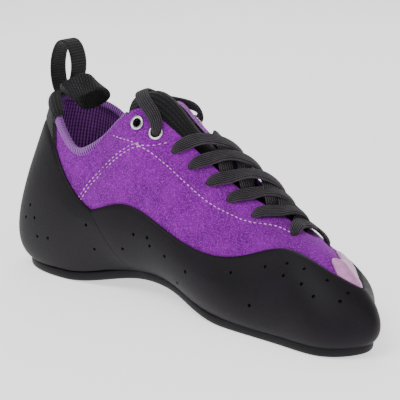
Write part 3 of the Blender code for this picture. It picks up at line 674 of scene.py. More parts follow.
def weave_mesh(
    name: str,
    grid: Grid,
    materials: Sequence[Finish],
    closed: bool = False,
    bands: Grid | None = None,
    caps: bool = False,
) -> Piece:
    """A mesh object from a grid of points, with its own UV map in metres.

    Args:
        name: The object's name.
        grid: Points in rows along the way, each a loop.
        materials: Its materials.
        closed: Whether the last row joins the first.
        bands: The material's number for each step of a row.
        caps: Whether the first and last rows are filled.

    Returns:
        The object.
    """
    ways, across = grid.shape[:2]
    wrap = np.concatenate([grid, grid[:1]]) if closed else grid
    wrap = np.concatenate([wrap, wrap[:, :1]], axis=1)
    along = np.linalg.norm(np.diff(wrap, axis=0), axis=2)
    over = np.linalg.norm(np.diff(wrap, axis=1), axis=2)
    u = np.concatenate([[0.0], np.cumsum(along.mean(axis=1))])
    v = np.concatenate([[0.0], np.cumsum(over.mean(axis=0))])
    rows, cols = len(u) - 1, len(v) - 1
    i, j = np.meshgrid(np.arange(rows), np.arange(cols), indexing="ij")
    corner = [(i, j), (i + 1, j), (i + 1, j + 1), (i, j + 1)]
    faces = np.stack([(p % ways) * across + q % across for p, q in corner], axis=-1).reshape(-1, 4)
    uvs = np.stack([np.stack([u[p], v[q]], axis=-1) for p, q in corner], axis=2).reshape(-1, 2)
    mesh = bpy.data.meshes.new(name)
    mesh.from_pydata(grid.reshape(-1, 3).tolist(), [], faces.tolist())
    mesh.uv_layers.new(name="own").data.foreach_set("uv", uvs.ravel())
    if bands is not None:
        mesh.polygons.foreach_set("material_index", np.tile(bands, rows))
    work = bmesh.new()
    work.from_mesh(mesh)
    if caps:
        work.verts.ensure_lookup_table()
        for row in (0, ways - 1):
            work.faces.new([work.verts[row * across + k] for k in range(across)])
    bmesh.ops.remove_doubles(work, verts=work.verts, dist=WELD)
    bmesh.ops.dissolve_degenerate(work, edges=work.edges, dist=WELD)
    bmesh.ops.recalc_face_normals(work, faces=work.faces)
    work.to_mesh(mesh)
    work.free()
    for item in materials:
        mesh.materials.append(item)
    mesh.shade_smooth()
    mesh.set_sharp_from_angle(angle=SHARP_ANGLE)
    return placed(name, mesh)


def shell_rows(outer: Grid, inner: Grid) -> Grid:
    """Loops round a wall between two grids."""
    return np.concatenate([outer, inner[:, ::-1]], axis=1)


def as_plain(made: Piece) -> Piece:
    """Turns an object with modifiers into a plain mesh."""
    bpy.context.view_layer.update()
    graph = bpy.context.evaluated_depsgraph_get()
    mesh = bpy.data.meshes.new_from_object(
        made.evaluated_get(graph), preserve_all_data_layers=True, depsgraph=graph
    )
    made.modifiers.clear()
    made.data = mesh
    return made


def cut_with(made: Piece, drills: Sequence[tuple[Grid, Grid, float, float]], sides: int) -> None:
    """Cuts round holes or pits.

    Args:
        made: The piece.
        drills: For each hole its centre, its outward direction, its radius and its depth.
        sides: The number of sides of each hole.
    """
    work = bmesh.new()
    for centre, out, radius, depth in drills:
        turn = Matrix.LocRotScale(Vector(centre), Vector(out).to_track_quat("Z", "Y"), None)
        bmesh.ops.create_cone(
            work, cap_ends=True, segments=sides, radius1=(1.0 - DRILL_FLARE) * radius,
            radius2=(1.0 + DRILL_FLARE) * radius, depth=2.0 * depth, matrix=turn,
        )
    mesh = bpy.data.meshes.new("drills")
    work.to_mesh(mesh)
    work.free()
    tool = placed("drills", mesh)
    cut = made.modifiers.new("holes", "BOOLEAN")
    cut.operation = "DIFFERENCE"
    cut.solver = "EXACT"
    cut.object = tool
    as_plain(made)
    bpy.data.objects.remove(tool, do_unlink=True)


def layer(name: str, a: Grid, b: Grid, thick: Grid, finish: Finish) -> Piece:
    """A piece that lies on the upper.

    Args:
        name: The piece's name.
        a: The way round of its points.
        b: The way up of its points.
        thick: Its thickness there, in metres.
        finish: Its material.

    Returns:
        The piece.
    """
    outer = LAST.at(a, b, SIZES.gap + thick + 0.0 * a)
    return weave_mesh(name, shell_rows(outer, LAST.at(a, b, SIZES.gap)), (finish,), caps=True)


@dataclass(frozen=True)
class Crease:
    """A soft trough or ridge on the suede between two places."""

    start: Place
    end: Place
    width: float
    depth: float


def hole_place(side: Side, number: int) -> Place:
    """The way round and the way up of one lace hole."""
    station = HOLE_STATIONS[number]
    a = float(LAST.around(station if side is Side.IN else len(SECTIONS) - station))
    return a, 1.0 - SIZES.hole_inset / float(LAST.reach(a))


@dataclass
class Upper:
    """The hollow suede body with its lining."""

    columns: int = 440
    rows: int = 110
    hole_sides: int = 20
    foot_fade: float = 0.15
    creases: tuple[Crease, ...] = (
        Crease((8.6, 0.86), (9.6, 0.60), 0.0050, -0.0007),
        Crease((9.5, 0.88), (10.4, 0.74), 0.0040, -0.0005),
        Crease((7.2, 0.78), (8.2, 0.58), 0.0060, -0.0006),
        Crease((5.2, 0.80), (4.2, 0.66), 0.0060, -0.0006),
        Crease((3.6, 0.86), (4.6, 0.70), 0.0050, 0.0005),
        Crease((6.2, 0.70), (6.9, 0.58), 0.0060, 0.0005),
        Crease((15.0, 0.80), (16.0, 0.60), 0.0060, -0.0007),
        Crease((17.0, 0.80), (18.2, 0.62), 0.0060, -0.0006),
        Crease((19.4, 0.82), (20.4, 0.68), 0.0055, -0.0006),
    )

    def relief(self, a: Grid, b: Grid) -> Grid:
        """The height of the creases."""
        where = LAST.point(a, b)
        height = 0.0 * a + 0.0 * b
        for crease in self.creases:
            start, end = (LAST.point(LAST.around(s), r) for s, r in (crease.start, crease.end))
            way = end - start
            share = np.clip(((where - start) @ way) / (way @ way), 0.0, 1.0)
            off = np.linalg.norm(where - start - share[..., None] * way, axis=-1)
            taper = np.sin(np.pi * np.clip(share, 0.02, 0.98)) ** 0.7
            height = height + crease.depth * taper * np.exp(-((off / crease.width) ** 2))
        return height * ease(b / self.foot_fade)

    def build(self, suede: Finish, edge: Finish, lining: Finish) -> Piece:
        """The body, with the lace holes cut through.

        Args:
            suede: The outside's finish.
            edge: The cut edges' finish.
            lining: The inside's finish.

        Returns:
            The piece.
        """
        a = np.linspace(0.0, 1.0, self.columns, endpoint=False)[:, None]
        b = np.linspace(0.0, 1.0, self.rows + 1)[None, :]
        outer = LAST.at(a, b, self.relief(a + 0.0 * b, b + 0.0 * a))
        back = np.linspace(0.0, 1.0, self.rows // 2 + 1)[None, :]
        inner = LAST.at(a, back, -SIZES.upper_wall)
        bands = np.concatenate([np.zeros(self.rows), [1], np.full(self.rows // 2, 2), [1]]).astype(int)
        made = weave_mesh("upper_skin", shell_rows(outer, inner), (suede, edge, lining), True, bands)
        drills = []
        for side in Side:
            for number in range(len(HOLE_STATIONS)):
                p = hole_place(side, number)
                radius = SIZES.eyelet_tube + 0.0001 if number < METAL_PAIRS else SIZES.hole_radius
                drills.append((LAST.point(*p), LAST.normal(*p), radius, 3.0 * SIZES.upper_wall))
        cut_with(made, drills, self.hole_sides)
        return made


@dataclass
class Rands:
    """The rubber walls of the heel and the toe, and the patch behind the toe's."""

    columns: int = 360
    seam_gap: float = 0.0008
    patch: tuple[float, float] = (11.45, 14.1)
    patch_clear: float = 0.012
    patch_reach: float = 0.24
    patch_square: float = 0.30
    patch_columns: int = 100
    patch_rows: int = 30
    thin_from: float = 0.7
    thinned: float = 0.3
    round_from: float = 0.95
    rounded: float = 0.6
    round_power: float = 2.2
    pin_radius: float = 0.0009
    pin_depth: float = 0.0013
    pin_sides: int = 12
    rises: tuple[float, ...] = field(default_factory=lambda: tuple(
        [*np.linspace(0.0, 0.95, 40), 0.965, 0.978, 0.988, 0.995, 1.0]
    ))
    pinholes: tuple[tuple[float, float], ...] = (
        (9.7, 0.58), (10.2, 0.63), (10.1, 0.55), (10.6, 0.63), (10.5, 0.53), (11.0, 0.59),
        (9.0, 0.50), (9.4, 0.31), (10.7, 0.47), (11.2, 0.46), (11.5, 0.52),
        (1.6, 0.50), (1.5, 0.41), (1.8, 0.43), (1.9, 0.30), (2.2, 0.30),
        (5.9, 0.39), (5.2, 0.26), (6.5, 0.41), (6.6, 0.36), (7.2, 0.35), (3.6, 0.20), (3.4, 0.42),
        (7.5, 0.16), (7.9, 0.33),
        (13.2, 0.45), (13.9, 0.50), (14.4, 0.40), (15.3, 0.44), (16.4, 0.38), (17.6, 0.40),
        (18.4, 0.36), (19.5, 0.40), (20.8, 0.44), (22.2, 0.56), (22.9, 0.46), (22.6, 0.66),
    )

    def wall(
        self, name: str, foot: Place, peak: Place, top: Callable[[Grid], Grid], finish: Finish
    ) -> Piece:
        """One rand.

        Args:
            name: The piece's name.
            foot: The way round of its two ends at the foot.
            peak: The way round of its two ends at the top.
            top: The share of its upper edge at a way round.
            finish: Its material.

        Returns:
            The piece.
        """
        way = np.linspace(0.0, 1.0, self.columns + 1)[:, None]
        rise = np.array(self.rises)[None, :]
        low = foot[0] + way * (foot[1] - foot[0])
        high = peak[0] + way * (peak[1] - peak[0])
        a = low + (high - low) * rise
        b = rise * top(high)
        past = np.clip((rise - self.round_from) / (1.0 - self.round_from), 0.0, 1.0)
        thin = np.clip((rise - self.thin_from) / (1.0 - self.thin_from), 0.0, 1.0)
        edge = (1.0 - self.rounded * past**self.round_power) * (1.0 - self.thinned * thin)
        made = layer(name, a, b, SIZES.rand_wall * edge, finish)
        drills = []
        for station, share in self.pinholes:
            spot = float(LAST.around(station))
            for turn in (-1.0, 0.0):
                if min(low[0, 0], high[0, 0]) < spot + turn < max(low[-1, 0], high[-1, 0]):
                    p = (spot + turn, share)
                    mouth = LAST.at(*p, SIZES.rand_wall + SIZES.gap)
                    drills.append((mouth, LAST.normal(*p), self.pin_radius, self.pin_depth))
        cut_with(made, drills, self.pin_sides)
        return made

    def build(self, rubber: Finish, smooth: Finish) -> list[Piece]:
        """Both rands and the patch.

        Args:
            rubber: The rands' finish.
            smooth: The patch's finish.

        Returns:
            The heel rand, the toe rand and the patch.
        """
        foot_in, top_in = LAST.around([MEET_FOOT["meet_in"], MEET_TOP["meet_in"]])
        foot_out, top_out = LAST.around([MEET_FOOT["meet_out"], MEET_TOP["meet_out"]])
        gap = self.seam_gap
        heel = self.wall(
            "heel_rubber", (foot_out - 1.0 + gap, foot_in - gap), (top_out - 1.0 + gap, top_in - gap),
            heel_top, rubber,
        )
        toe = self.wall("toe_rubber", (foot_in, foot_out), (top_in, top_out), TOE_TOP, rubber)
        start, stop = LAST.around(self.patch)
        way = np.linspace(0.0, 1.0, self.patch_columns)[:, None]
        rise = np.linspace(0.0, 1.0, self.patch_rows)[None, :]
        a = start + way * (stop - start) + 0.0 * rise
        reach = self.patch_clear + self.patch_reach * np.sin(math.pi * way) ** self.patch_square
        b = TOE_TOP(a) + self.patch_clear + reach * rise
        edge = np.clip(8.0 * np.minimum(rise, 1.0 - rise), 0.15, 1.0) ** 0.5
        return [heel, toe, layer("toe_patch_skin", a, b, SIZES.patch_wall * edge, smooth)]


def plate(name: str, steps: int, across: int, layers: Sequence[Place], finish: Finish) -> Piece:
    """A plate with the shoe's outline.

    Args:
        name: The piece's name.
        steps: Divisions along it.
        across: Divisions across it.
        layers: For each level of its side, from the lowest, its move outward and its height.
        finish: Its material.

    Returns:
        The piece.
    """
    # The rows stand closer towards the heel and the toe, where the outline turns.
    ways = 0.25 * (1.0 - np.cos(np.linspace(0.0, math.pi, steps + 1)))
    ways = 0.5 * (ways + 0.5 * np.linspace(0.0, 1.0, steps + 1))

    def level(out: float, rise: float) -> Grid:
        near, far = LAST.rim(ways, out), LAST.rim(1.0 - ways, out)
        share = np.linspace(0.0, 1.0, across + 1)[None, :, None]
        grid = near[:, None] + (far - near)[:, None] * share
        grid[..., 2] = ground(grid[..., 0], grid[..., 1]) + rise
        return grid

    grids = [level(out, rise) for out, rise in layers]
    near = np.stack([g[:, 0] for g in grids], axis=1)
    far = np.stack([g[:, -1] for g in grids], axis=1)[:, ::-1]
    loops = np.concatenate([grids[0][:, ::-1][:, :-1], near, grids[-1][:, 1:-1], far[:, :-1]], axis=1)
    return weave_mesh(name, loops, (finish,))


@dataclass
class Sole:
    """The outsole and the board inside."""

    steps: int = 260
    across: int = 30
    board_steps: int = 120
    board_across: int = 16

    def build(self, rubber: Finish, board: Finish) -> list[Piece]:
        """The outsole and the insole.

        Args:
            rubber: The outsole's finish.
            board: The insole's finish.

        Returns:
            Both pieces.
        """
        out = SIZES.rand_wall + SIZES.gap + SIZES.sole_proud
        tall = SIZES.sole_wall
        side = (
            (out - 0.0016, 0.0), (out - 0.0009, 0.0002), (out - 0.0003, 0.0007), (out, 0.0014),
            (out + 0.0001, 0.5 * tall), (out, tall - 0.0010), (out - 0.0002, tall - 0.0005),
            (out - 0.0007, tall - 0.0001), (out - 0.0012, tall),
        )
        outsole = plate("outsole_rubber", self.steps, self.across, side, rubber)
        inset = -(SIZES.upper_wall + 2.0 * SIZES.gap)
        low = tall + 1.5 * SIZES.gap
        edge = (
            (inset, low), (inset, low + 0.6 * SIZES.insole_wall),
            (inset - 0.0004, low + 0.9 * SIZES.insole_wall),
            (inset - 0.0010, low + SIZES.insole_wall),
        )
        return [outsole, plate("insole_board", self.board_steps, self.board_across, edge, board)]


def strap(
    name: str,
    path: Grid,
    wide: Grid,
    deep: Grid,
    half_wide: Grid,
    half_deep: Grid,
    finish: Finish,
    sides: int,
    square: float,
    closed: bool = False,
) -> Piece:
    """A strip with rounded edges swept along a path.

    Args:
        name: The piece's name.
        path: Its middle line.
        wide: The direction of its width at each point.
        deep: The direction of its thickness.
        half_wide: Half its width.
        half_deep: Half its thickness.
        finish: Its material.
        sides: Points round it.
        square: How flat its faces are, from 1, round, towards 0.
        closed: Whether it is a ring.

    Returns:
        The piece.
    """
    turns = 2.0 * math.pi * (np.arange(sides) + 0.5) / sides
    cross = np.sign(np.cos(turns)) * np.abs(np.cos(turns)) ** square
    level = np.sign(np.sin(turns)) * np.abs(np.sin(turns)) ** (0.5 + 0.5 * square)
    grid = (
        path[:, None]
        + (half_wide[:, None] * cross)[..., None] * wide[:, None]
        + (half_deep[:, None] * level)[..., None] * deep[:, None]
    )
    return weave_mesh(name, grid, (finish,), closed, caps=not closed)


def framed(path: Grid, up: Grid) -> tuple[Grid, Grid]:
    """The directions of a strip's width and thickness along a path.

    Args:
        path: Its points.
        up: A rough outward direction at each point.

    Returns:
        The width's and the thickness's directions.
    """
    along = np.gradient(path, axis=0)
    wide = unit(np.cross(along, up))
    return wide, unit(np.cross(wide, along))


@dataclass
class Collar:
    """The rolled mesh edge of the collar."""

    end: float = 4.55
    turn: float = 3.1
    fade: float = 0.9
    sunk: float = 0.0005
    steps: int = 300

    def build(self, mesh: Finish) -> Piece:
        """The roll."""
        stations = np.linspace(self.end, -self.end, self.steps + 1)
        a = LAST.around(stations)
        path = LAST.point(a, 1.0)
        rise = LAST.rise(a)
        out = LAST.normal(a, 1.0)
        thin = ease((np.abs(stations) - self.turn) / self.fade)
        radius = SIZES.roll_radius + (SIZES.roll_front_radius - SIZES.roll_radius) * thin
        path = path + (radius - self.sunk)[:, None] * rise - 0.5 * SIZES.upper_wall * out
        return strap("collar_roll_cloth", path, out, rise, radius, radius, mesh, 20, 1.0)


@dataclass
class Tongue:
    """The thin strip under the throat, puffed up below the tabs."""

    front: float = 11.0
    back: float = 4.75
    steps: int = 90
    dome: float = 1.5
    puff: float = 1.1
    puff_place: float = 0.80
    puff_long: float = 0.12
    tail: float = 0.0070
    tail_steps: int = 10
    narrow: float = 0.10
    tuck_points: int = 8
    bridge_points: int = 24

    def build(self, cloth: Finish) -> Piece:
        """The tongue."""
        way = np.linspace(0.0, 1.0, self.steps + 1)
        stations = self.front + (self.back - self.front) * way
        near, far = LAST.around(stations), LAST.around(len(SECTIONS) - stations)
        under = -(SIZES.upper_wall + SIZES.tongue_drop)
        tuck = np.linspace(SIZES.tongue_tuck, 0.0, self.tuck_points)
        t = np.linspace(0.0, 1.0, self.bridge_points + 2)[1:-1, None]
        faces: list[list[Grid]] = [[], []]
        puff = self.dome + self.puff * np.exp(-(((way - self.puff_place) / self.puff_long) ** 2))
        for a_in, a_out, dome in zip(near, far, puff):
            for rows, drop in zip(faces, (under, under - SIZES.tongue_wall)):
                left = LAST.at(a_in, 1.0 - tuck / LAST.reach(a_in), drop)
                right = LAST.at(a_out, 1.0 - tuck / LAST.reach(a_out), drop)[::-1]
                start, end = left[-1], right[0]
                span = np.linalg.norm(end - start)
                lead = unit(left[-1] - left[-2]) * dome * span
                trail = unit(right[0] - right[1]) * dome * span
                bridge = (
                    (2 * t**3 - 3 * t**2 + 1) * start + (t**3 - 2 * t**2 + t) * lead
                    + (3 * t**2 - 2 * t**3) * end - (t**3 - t**2) * trail
                )
                rows.append(np.vstack([left, bridge, right]))
        outer, inner = (np.array(rows) for rows in faces)
        step = unit(outer[-1].mean(axis=0) - outer[-2].mean(axis=0)) * self.tail / self.tail_steps
        share = np.arange(1, self.tail_steps + 1)[:, None, None]
        pinch = 1.0 - self.narrow * share / self.tail_steps * np.array([0.0, 1.0, 0.0])
        outer, inner = (np.concatenate([g, (g[-1:] + share * step) * pinch]) for g in (outer, inner))
        return weave_mesh("tongue_cloth", shell_rows(outer, inner), (cloth,), caps=True)


@dataclass
class PullLoops:
    """The two loops of webbing at the heel and the tape that they are sewn to."""

    rear_axis: Spot = (0.0, 1.0, 0.0)
    front_axis: Spot = (0.80, 0.25, -0.55)
    tape_far: float = -0.012
    tape_near: tuple[float, float] = (1.95, 1.60)
    tape_foot: float = 0.006
    tape_grid: tuple[int, int] = (61, 24)
    wrap_rows: int = 30
    ring_step: float = 0.08
    ring_sides: int = 24
    ring_square: float = 0.3
    tape_wrap: tuple[float, float] = (-10.0, 115.0)
    tape_taper: float = 16.0
    thin: float = 0.3

    def ring(self, name: str, table: Sequence[Spot], axis: Spot, finish: Finish) -> Piece:
        """One closed loop of webbing."""
        points = np.array(table) + LAST.point(0.0, 1.0)
        count = len(points)
        curve = Spline(np.arange(count + 1), points, closed=True)
        where = np.arange(0.0, count, self.ring_step)
        path = curve(where)
        along = unit(curve(where + UP_STEP) - curve(where - UP_STEP))
        wide = np.array(axis) / np.linalg.norm(axis)
        wide = unit(wide - (along @ wide)[:, None] * along)
        half = np.full(len(path), 0.5)
        return strap(
            name, path, wide, np.cross(along, wide), half * SIZES.tape_width, half * SIZES.tape_thick, finish,
            self.ring_sides, self.ring_square, True,
        )

    def build(self, webbing: Finish) -> list[Piece]:
        """The rear loop, the front loop and the tape."""
        rear = self.ring("rear_loop_webbing", REAR_LOOP, self.rear_axis, webbing)
        front = self.ring("front_loop_webbing", FRONT_LOOP, self.front_axis, webbing)
        top = float(LAST.around(self.tape_near[1]))
        foot = float(LAST.around(self.tape_near[0]))
        columns, rows = self.tape_grid
        share = np.linspace(0.0, 1.0, columns)[None, :]
        rise = np.linspace(0.0, 1.0, rows)[:, None]
        a = self.tape_far + share * (foot + rise * (top - foot) - self.tape_far)
        low = heel_top(a) + self.tape_foot
        b = low + rise * (1.0 - low)
        wall = LAST.at(a, b, SIZES.gap)
        last = a[-1]
        out = LAST.normal(last, 1.0)
        rise = LAST.rise(last)
        radius = SIZES.roll_radius + SIZES.gap
        centre = LAST.point(last, 1.0) + radius * rise - 0.5 * SIZES.upper_wall * out
        turns = np.radians(np.linspace(*self.tape_wrap, self.wrap_rows))[:, None, None]
        over = centre + radius * (np.cos(turns) * out + np.sin(turns) * rise)
        inner = np.concatenate([wall[:-2], over])
        face = unit(np.cross(np.gradient(inner, axis=1), np.gradient(inner, axis=0)))
        taper = np.clip(self.tape_taper * np.minimum(share, 1.0 - share), self.thin, 1.0)[..., None]
        outer = inner + SIZES.tape_thick * taper * face
        return [rear, front, weave_mesh("heel_tape_webbing", shell_rows(outer, inner), (webbing,), caps=True)]


@dataclass
class Eyelets:
    """The four metal eyelets."""

    sides: int = 48

    def one(self, name: str, side: Side, number: int, metal: Finish) -> Piece:
        """One turned eyelet in its place."""
        wall, gap, flange = SIZES.upper_wall, SIZES.gap, SIZES.eyelet_flange
        low, high = -wall - gap, gap + flange
        wide, bore, tube = SIZES.eyelet_radius, SIZES.eyelet_bore, SIZES.eyelet_tube
        profile = np.array([
            (bore, low), (tube, low), (tube, 0.0001), (wide - 0.0002, 0.0001), (wide, 0.0003), (wide, 0.0005),
            (wide - 0.0002, 0.8 * high), (wide - 0.0006, high), (0.5 * (wide + bore), high),
            (bore + 0.0003, 0.8 * high), (bore + 0.0001, 0.4 * high), (bore, -0.5 * wall),
        ])
        turns = 2.0 * math.pi * np.arange(self.sides) / self.sides
        a, b = hole_place(side, number)
        out = LAST.normal(a, b)
        first = unit(np.cross(out, (0.0, 0.0, 1.0)))
        second = np.cross(out, first)
        spoke = np.cos(turns)[:, None] * first + np.sin(turns)[:, None] * second
        grid = LAST.point(a, b) + profile[None, :, :1] * spoke[:, None] + profile[None, :, 1:] * out
        return weave_mesh(name, grid, (metal,), True)

    def build(self, metal: Finish) -> list[tuple[Piece, str]]:
        """Every eyelet with the node that it stands for."""
        made = []
        for number in range(METAL_PAIRS):
            for side, word in ((Side.IN, "in"), (Side.OUT, "out")):
                node = f"eyelet_{word}_{number + 1}"
                made.append((self.one(f"{node}_metal", side, number, metal), node))
        return made


@dataclass
class Lace:
    """The flat lace, crossed over the throat from hole to hole."""

    lift: float = 0.0016
    arches_in: tuple[float, ...] = (0.23, 0.25, 0.25, 0.20, 0.12, -0.03)
    arches_out: tuple[float, ...] = (0.15, 0.17, 0.17, 0.14, 0.08)
    first_arch: int = 2
    lean: float = 0.35
    cross: float = 0.0013
    ahead: float = 1.5
    ahead_end: float = 0.6
    hang: float = 0.0020
    peak: float = 0.40
    inward: float = 0.0055
    under: float = 0.0020
    tuck: float = 0.009
    crest: Spot = (0.0405, 0.0, 0.0983)
    crest_up: Spot = (-0.5, 0.0, 1.0)
    crest_stations: Place = (5.45, 19.40)
    shoulder_in: Spot = (0.0500, -0.0105, 0.0972)
    shoulder_in_up: Spot = (0.1, -0.7, 0.7)
    shoulder_out: Spot = (0.0395, 0.0115, 0.0935)
    shoulder_out_up: Spot = (-0.6, 0.4, 0.7)
    steps: int = 70
    sides: int = 20
    square: float = 0.6

    def over_edge(self, side: Side, number: int) -> tuple[Grid, Grid]:
        """Where a strand passes the throat's edge over its own hole, and its upward direction."""
        last = min(number + 1, len(HOLE_STATIONS) - 1)
        a, ahead = hole_place(side, number)[0], hole_place(side, last)[0]
        lean = a if number in (1, last) else a + self.lean * (ahead - a)
        return LAST.at(lean, 1.0, 0.6 * self.lift + 0.5 * SIZES.lace_thick), LAST.normal(lean, 1.0)

    def rise_from(self, side: Side, number: int) -> list[Stop]:
        """The lace's way out of a hole: places, upward directions and shares of its width."""
        a, b = hole_place(side, number)
        centre, out = LAST.point(a, b), LAST.normal(a, b)
        edge, up = self.over_edge(side, number)
        along = edge - centre
        along = unit(along - (along @ out) * out)
        metal = SIZES.eyelet_flange if number < METAL_PAIRS else 0.0
        # From under the upper through the hole's mouth and over its rim, turning, to the edge
        return [
            (centre - 0.0030 * out - 0.0004 * along, -along, 0.52),
            (centre + (0.0002 + 0.5 * metal) * out, unit(out - 1.5 * along), 0.56),
            (centre + (0.0016 + metal) * out + 0.0022 * along, unit(out - 0.1 * along), 0.86),
            (edge, up, 1.0),
        ]

    def over_crest(self, side: Side) -> list[Stop]:
        """The top strand's way out of its eyelet and up to the edge below the tongue's crest."""
        inner = side is Side.IN
        a = float(LAST.around(self.crest_stations[0 if inner else 1]))
        spot, up = (
            (self.shoulder_in, self.shoulder_in_up) if inner else (self.shoulder_out, self.shoulder_out_up)
        )
        return self.rise_from(side, 1)[:-1] + [
            (LAST.at(a, 1.0, 0.5 * self.lift + 0.5 * SIZES.lace_thick), LAST.normal(a, 1.0), 1.0),
            (np.array(spot), unit(np.array(up)), 1.0),
        ]

    def under_edge(self, side: Side, last: int, start: Grid) -> list[Stop]:
        """The lace's way in under the throat's edge, past a hole.

        Args:
            side: The side of the edge.
            last: The hole's number.
            start: Where the strand leaves the other edge.

        Returns:
            Places, upward directions and shares of its width.
        """
        a, _ = hole_place(side, last)
        left = len(HOLE_STATIONS) - 1 - last
        if left:
            share = self.ahead if left > 1 else self.ahead_end
            a += share * (hole_place(side, last + 1)[0] - a)
        up = LAST.normal(a, 1.0)
        drop = -(SIZES.upper_wall + 0.5 * SIZES.lace_thick + 0.0001)
        tuck = self.tuck / float(LAST.reach(a))
        inward = unit(start - LAST.point(a, 1.0))
        return [
            (LAST.at(a, 1.0, self.hang) + self.inward * inward, up, 1.0),
            (LAST.at(a, 1.0, drop) + self.under * inward, up, 1.0),
            (LAST.at(a, 1.0 - 0.3 * tuck, drop), up, 1.0),
            (LAST.at(a, 1.0 - tuck, drop), up, 1.0),
        ]

    def arch(self, side: Side, number: int, start: Stop, end: Stop) -> Stop:
        """The highest place of the strand from a hole, between its two edges."""
        up = unit(start[1] + end[1])
        way = end[0] - start[0]
        arches, shift = (self.arches_in, self.cross) if side is Side.IN else (self.arches_out, -self.cross)
        height = arches[number - self.first_arch] * np.linalg.norm(way) + shift
        return start[0] + self.peak * way + height * up, up, 1.0

    def strand(self, side: Side, number: int, last: int, finish: Finish) -> Piece:
        """One strand, from a hole to the far stay.

        Args:
            side: The side of its hole.
            number: The hole's number from the top.
            last: The number of the far hole that it goes under the edge at, or its own for a bar.
            finish: Its material.

        Returns:
            The piece.
        """
        other = Side.OUT if side is Side.IN else Side.IN
        if number < self.first_arch:
            front, back = self.over_crest(side), self.over_crest(other)[::-1]
            middle = (np.array(self.crest), unit(np.array(self.crest_up)), 1.0)
        else:
            front = self.rise_from(side, number)
            bar = number == last
            back = self.rise_from(other, number)[::-1] if bar else self.under_edge(other, last, front[-1][0])
            middle = self.arch(side, number, front[-1], back[0])
        stops = [*front, middle, *back]
        points = np.array([p for p, _, _ in stops])
        knots = np.concatenate([[0.0], np.cumsum(np.linalg.norm(np.diff(points, axis=0), axis=1))])
        where = np.linspace(0.0, knots[-1], self.steps + 1)
        path = Spline(knots, points)(where)
        ups = np.stack([np.interp(where, knots, [u[k] for _, u, _ in stops]) for k in range(3)], axis=1)
        share = np.interp(where, knots, [s for _, _, s in stops])
        wide, deep = framed(path, ups)
        fat = 1.0 + 0.5 * (1.0 - share)
        return strap(
            f"lace_{side.name.lower()}_{number}_{last}", path, wide, deep, 0.5 * SIZES.lace_width * share,
            0.5 * SIZES.lace_thick * fat, finish, self.sides, self.square,
        )

    def build(self, finish: Finish) -> Piece:
        """Every strand, joined to one piece."""
        count = len(HOLE_STATIONS)
        strands = [self.strand(Side.IN, count - 1, count - 1, finish)]
        for number in range(self.first_arch, count - 1):
            strands += [self.strand(side, number, number + 1, finish) for side in (Side.OUT, Side.IN)]
        strands.append(self.strand(Side.IN, 1, 1, finish))
        work = bmesh.new()
        for item in strands:
            work.from_mesh(item.data)
        mesh = bpy.data.meshes.new("lace_braid")
        work.to_mesh(mesh)
        work.free()
        mesh.materials.append(finish)
        for item in strands:
            bpy.data.objects.remove(item, do_unlink=True)
        return placed("lace_braid", mesh)


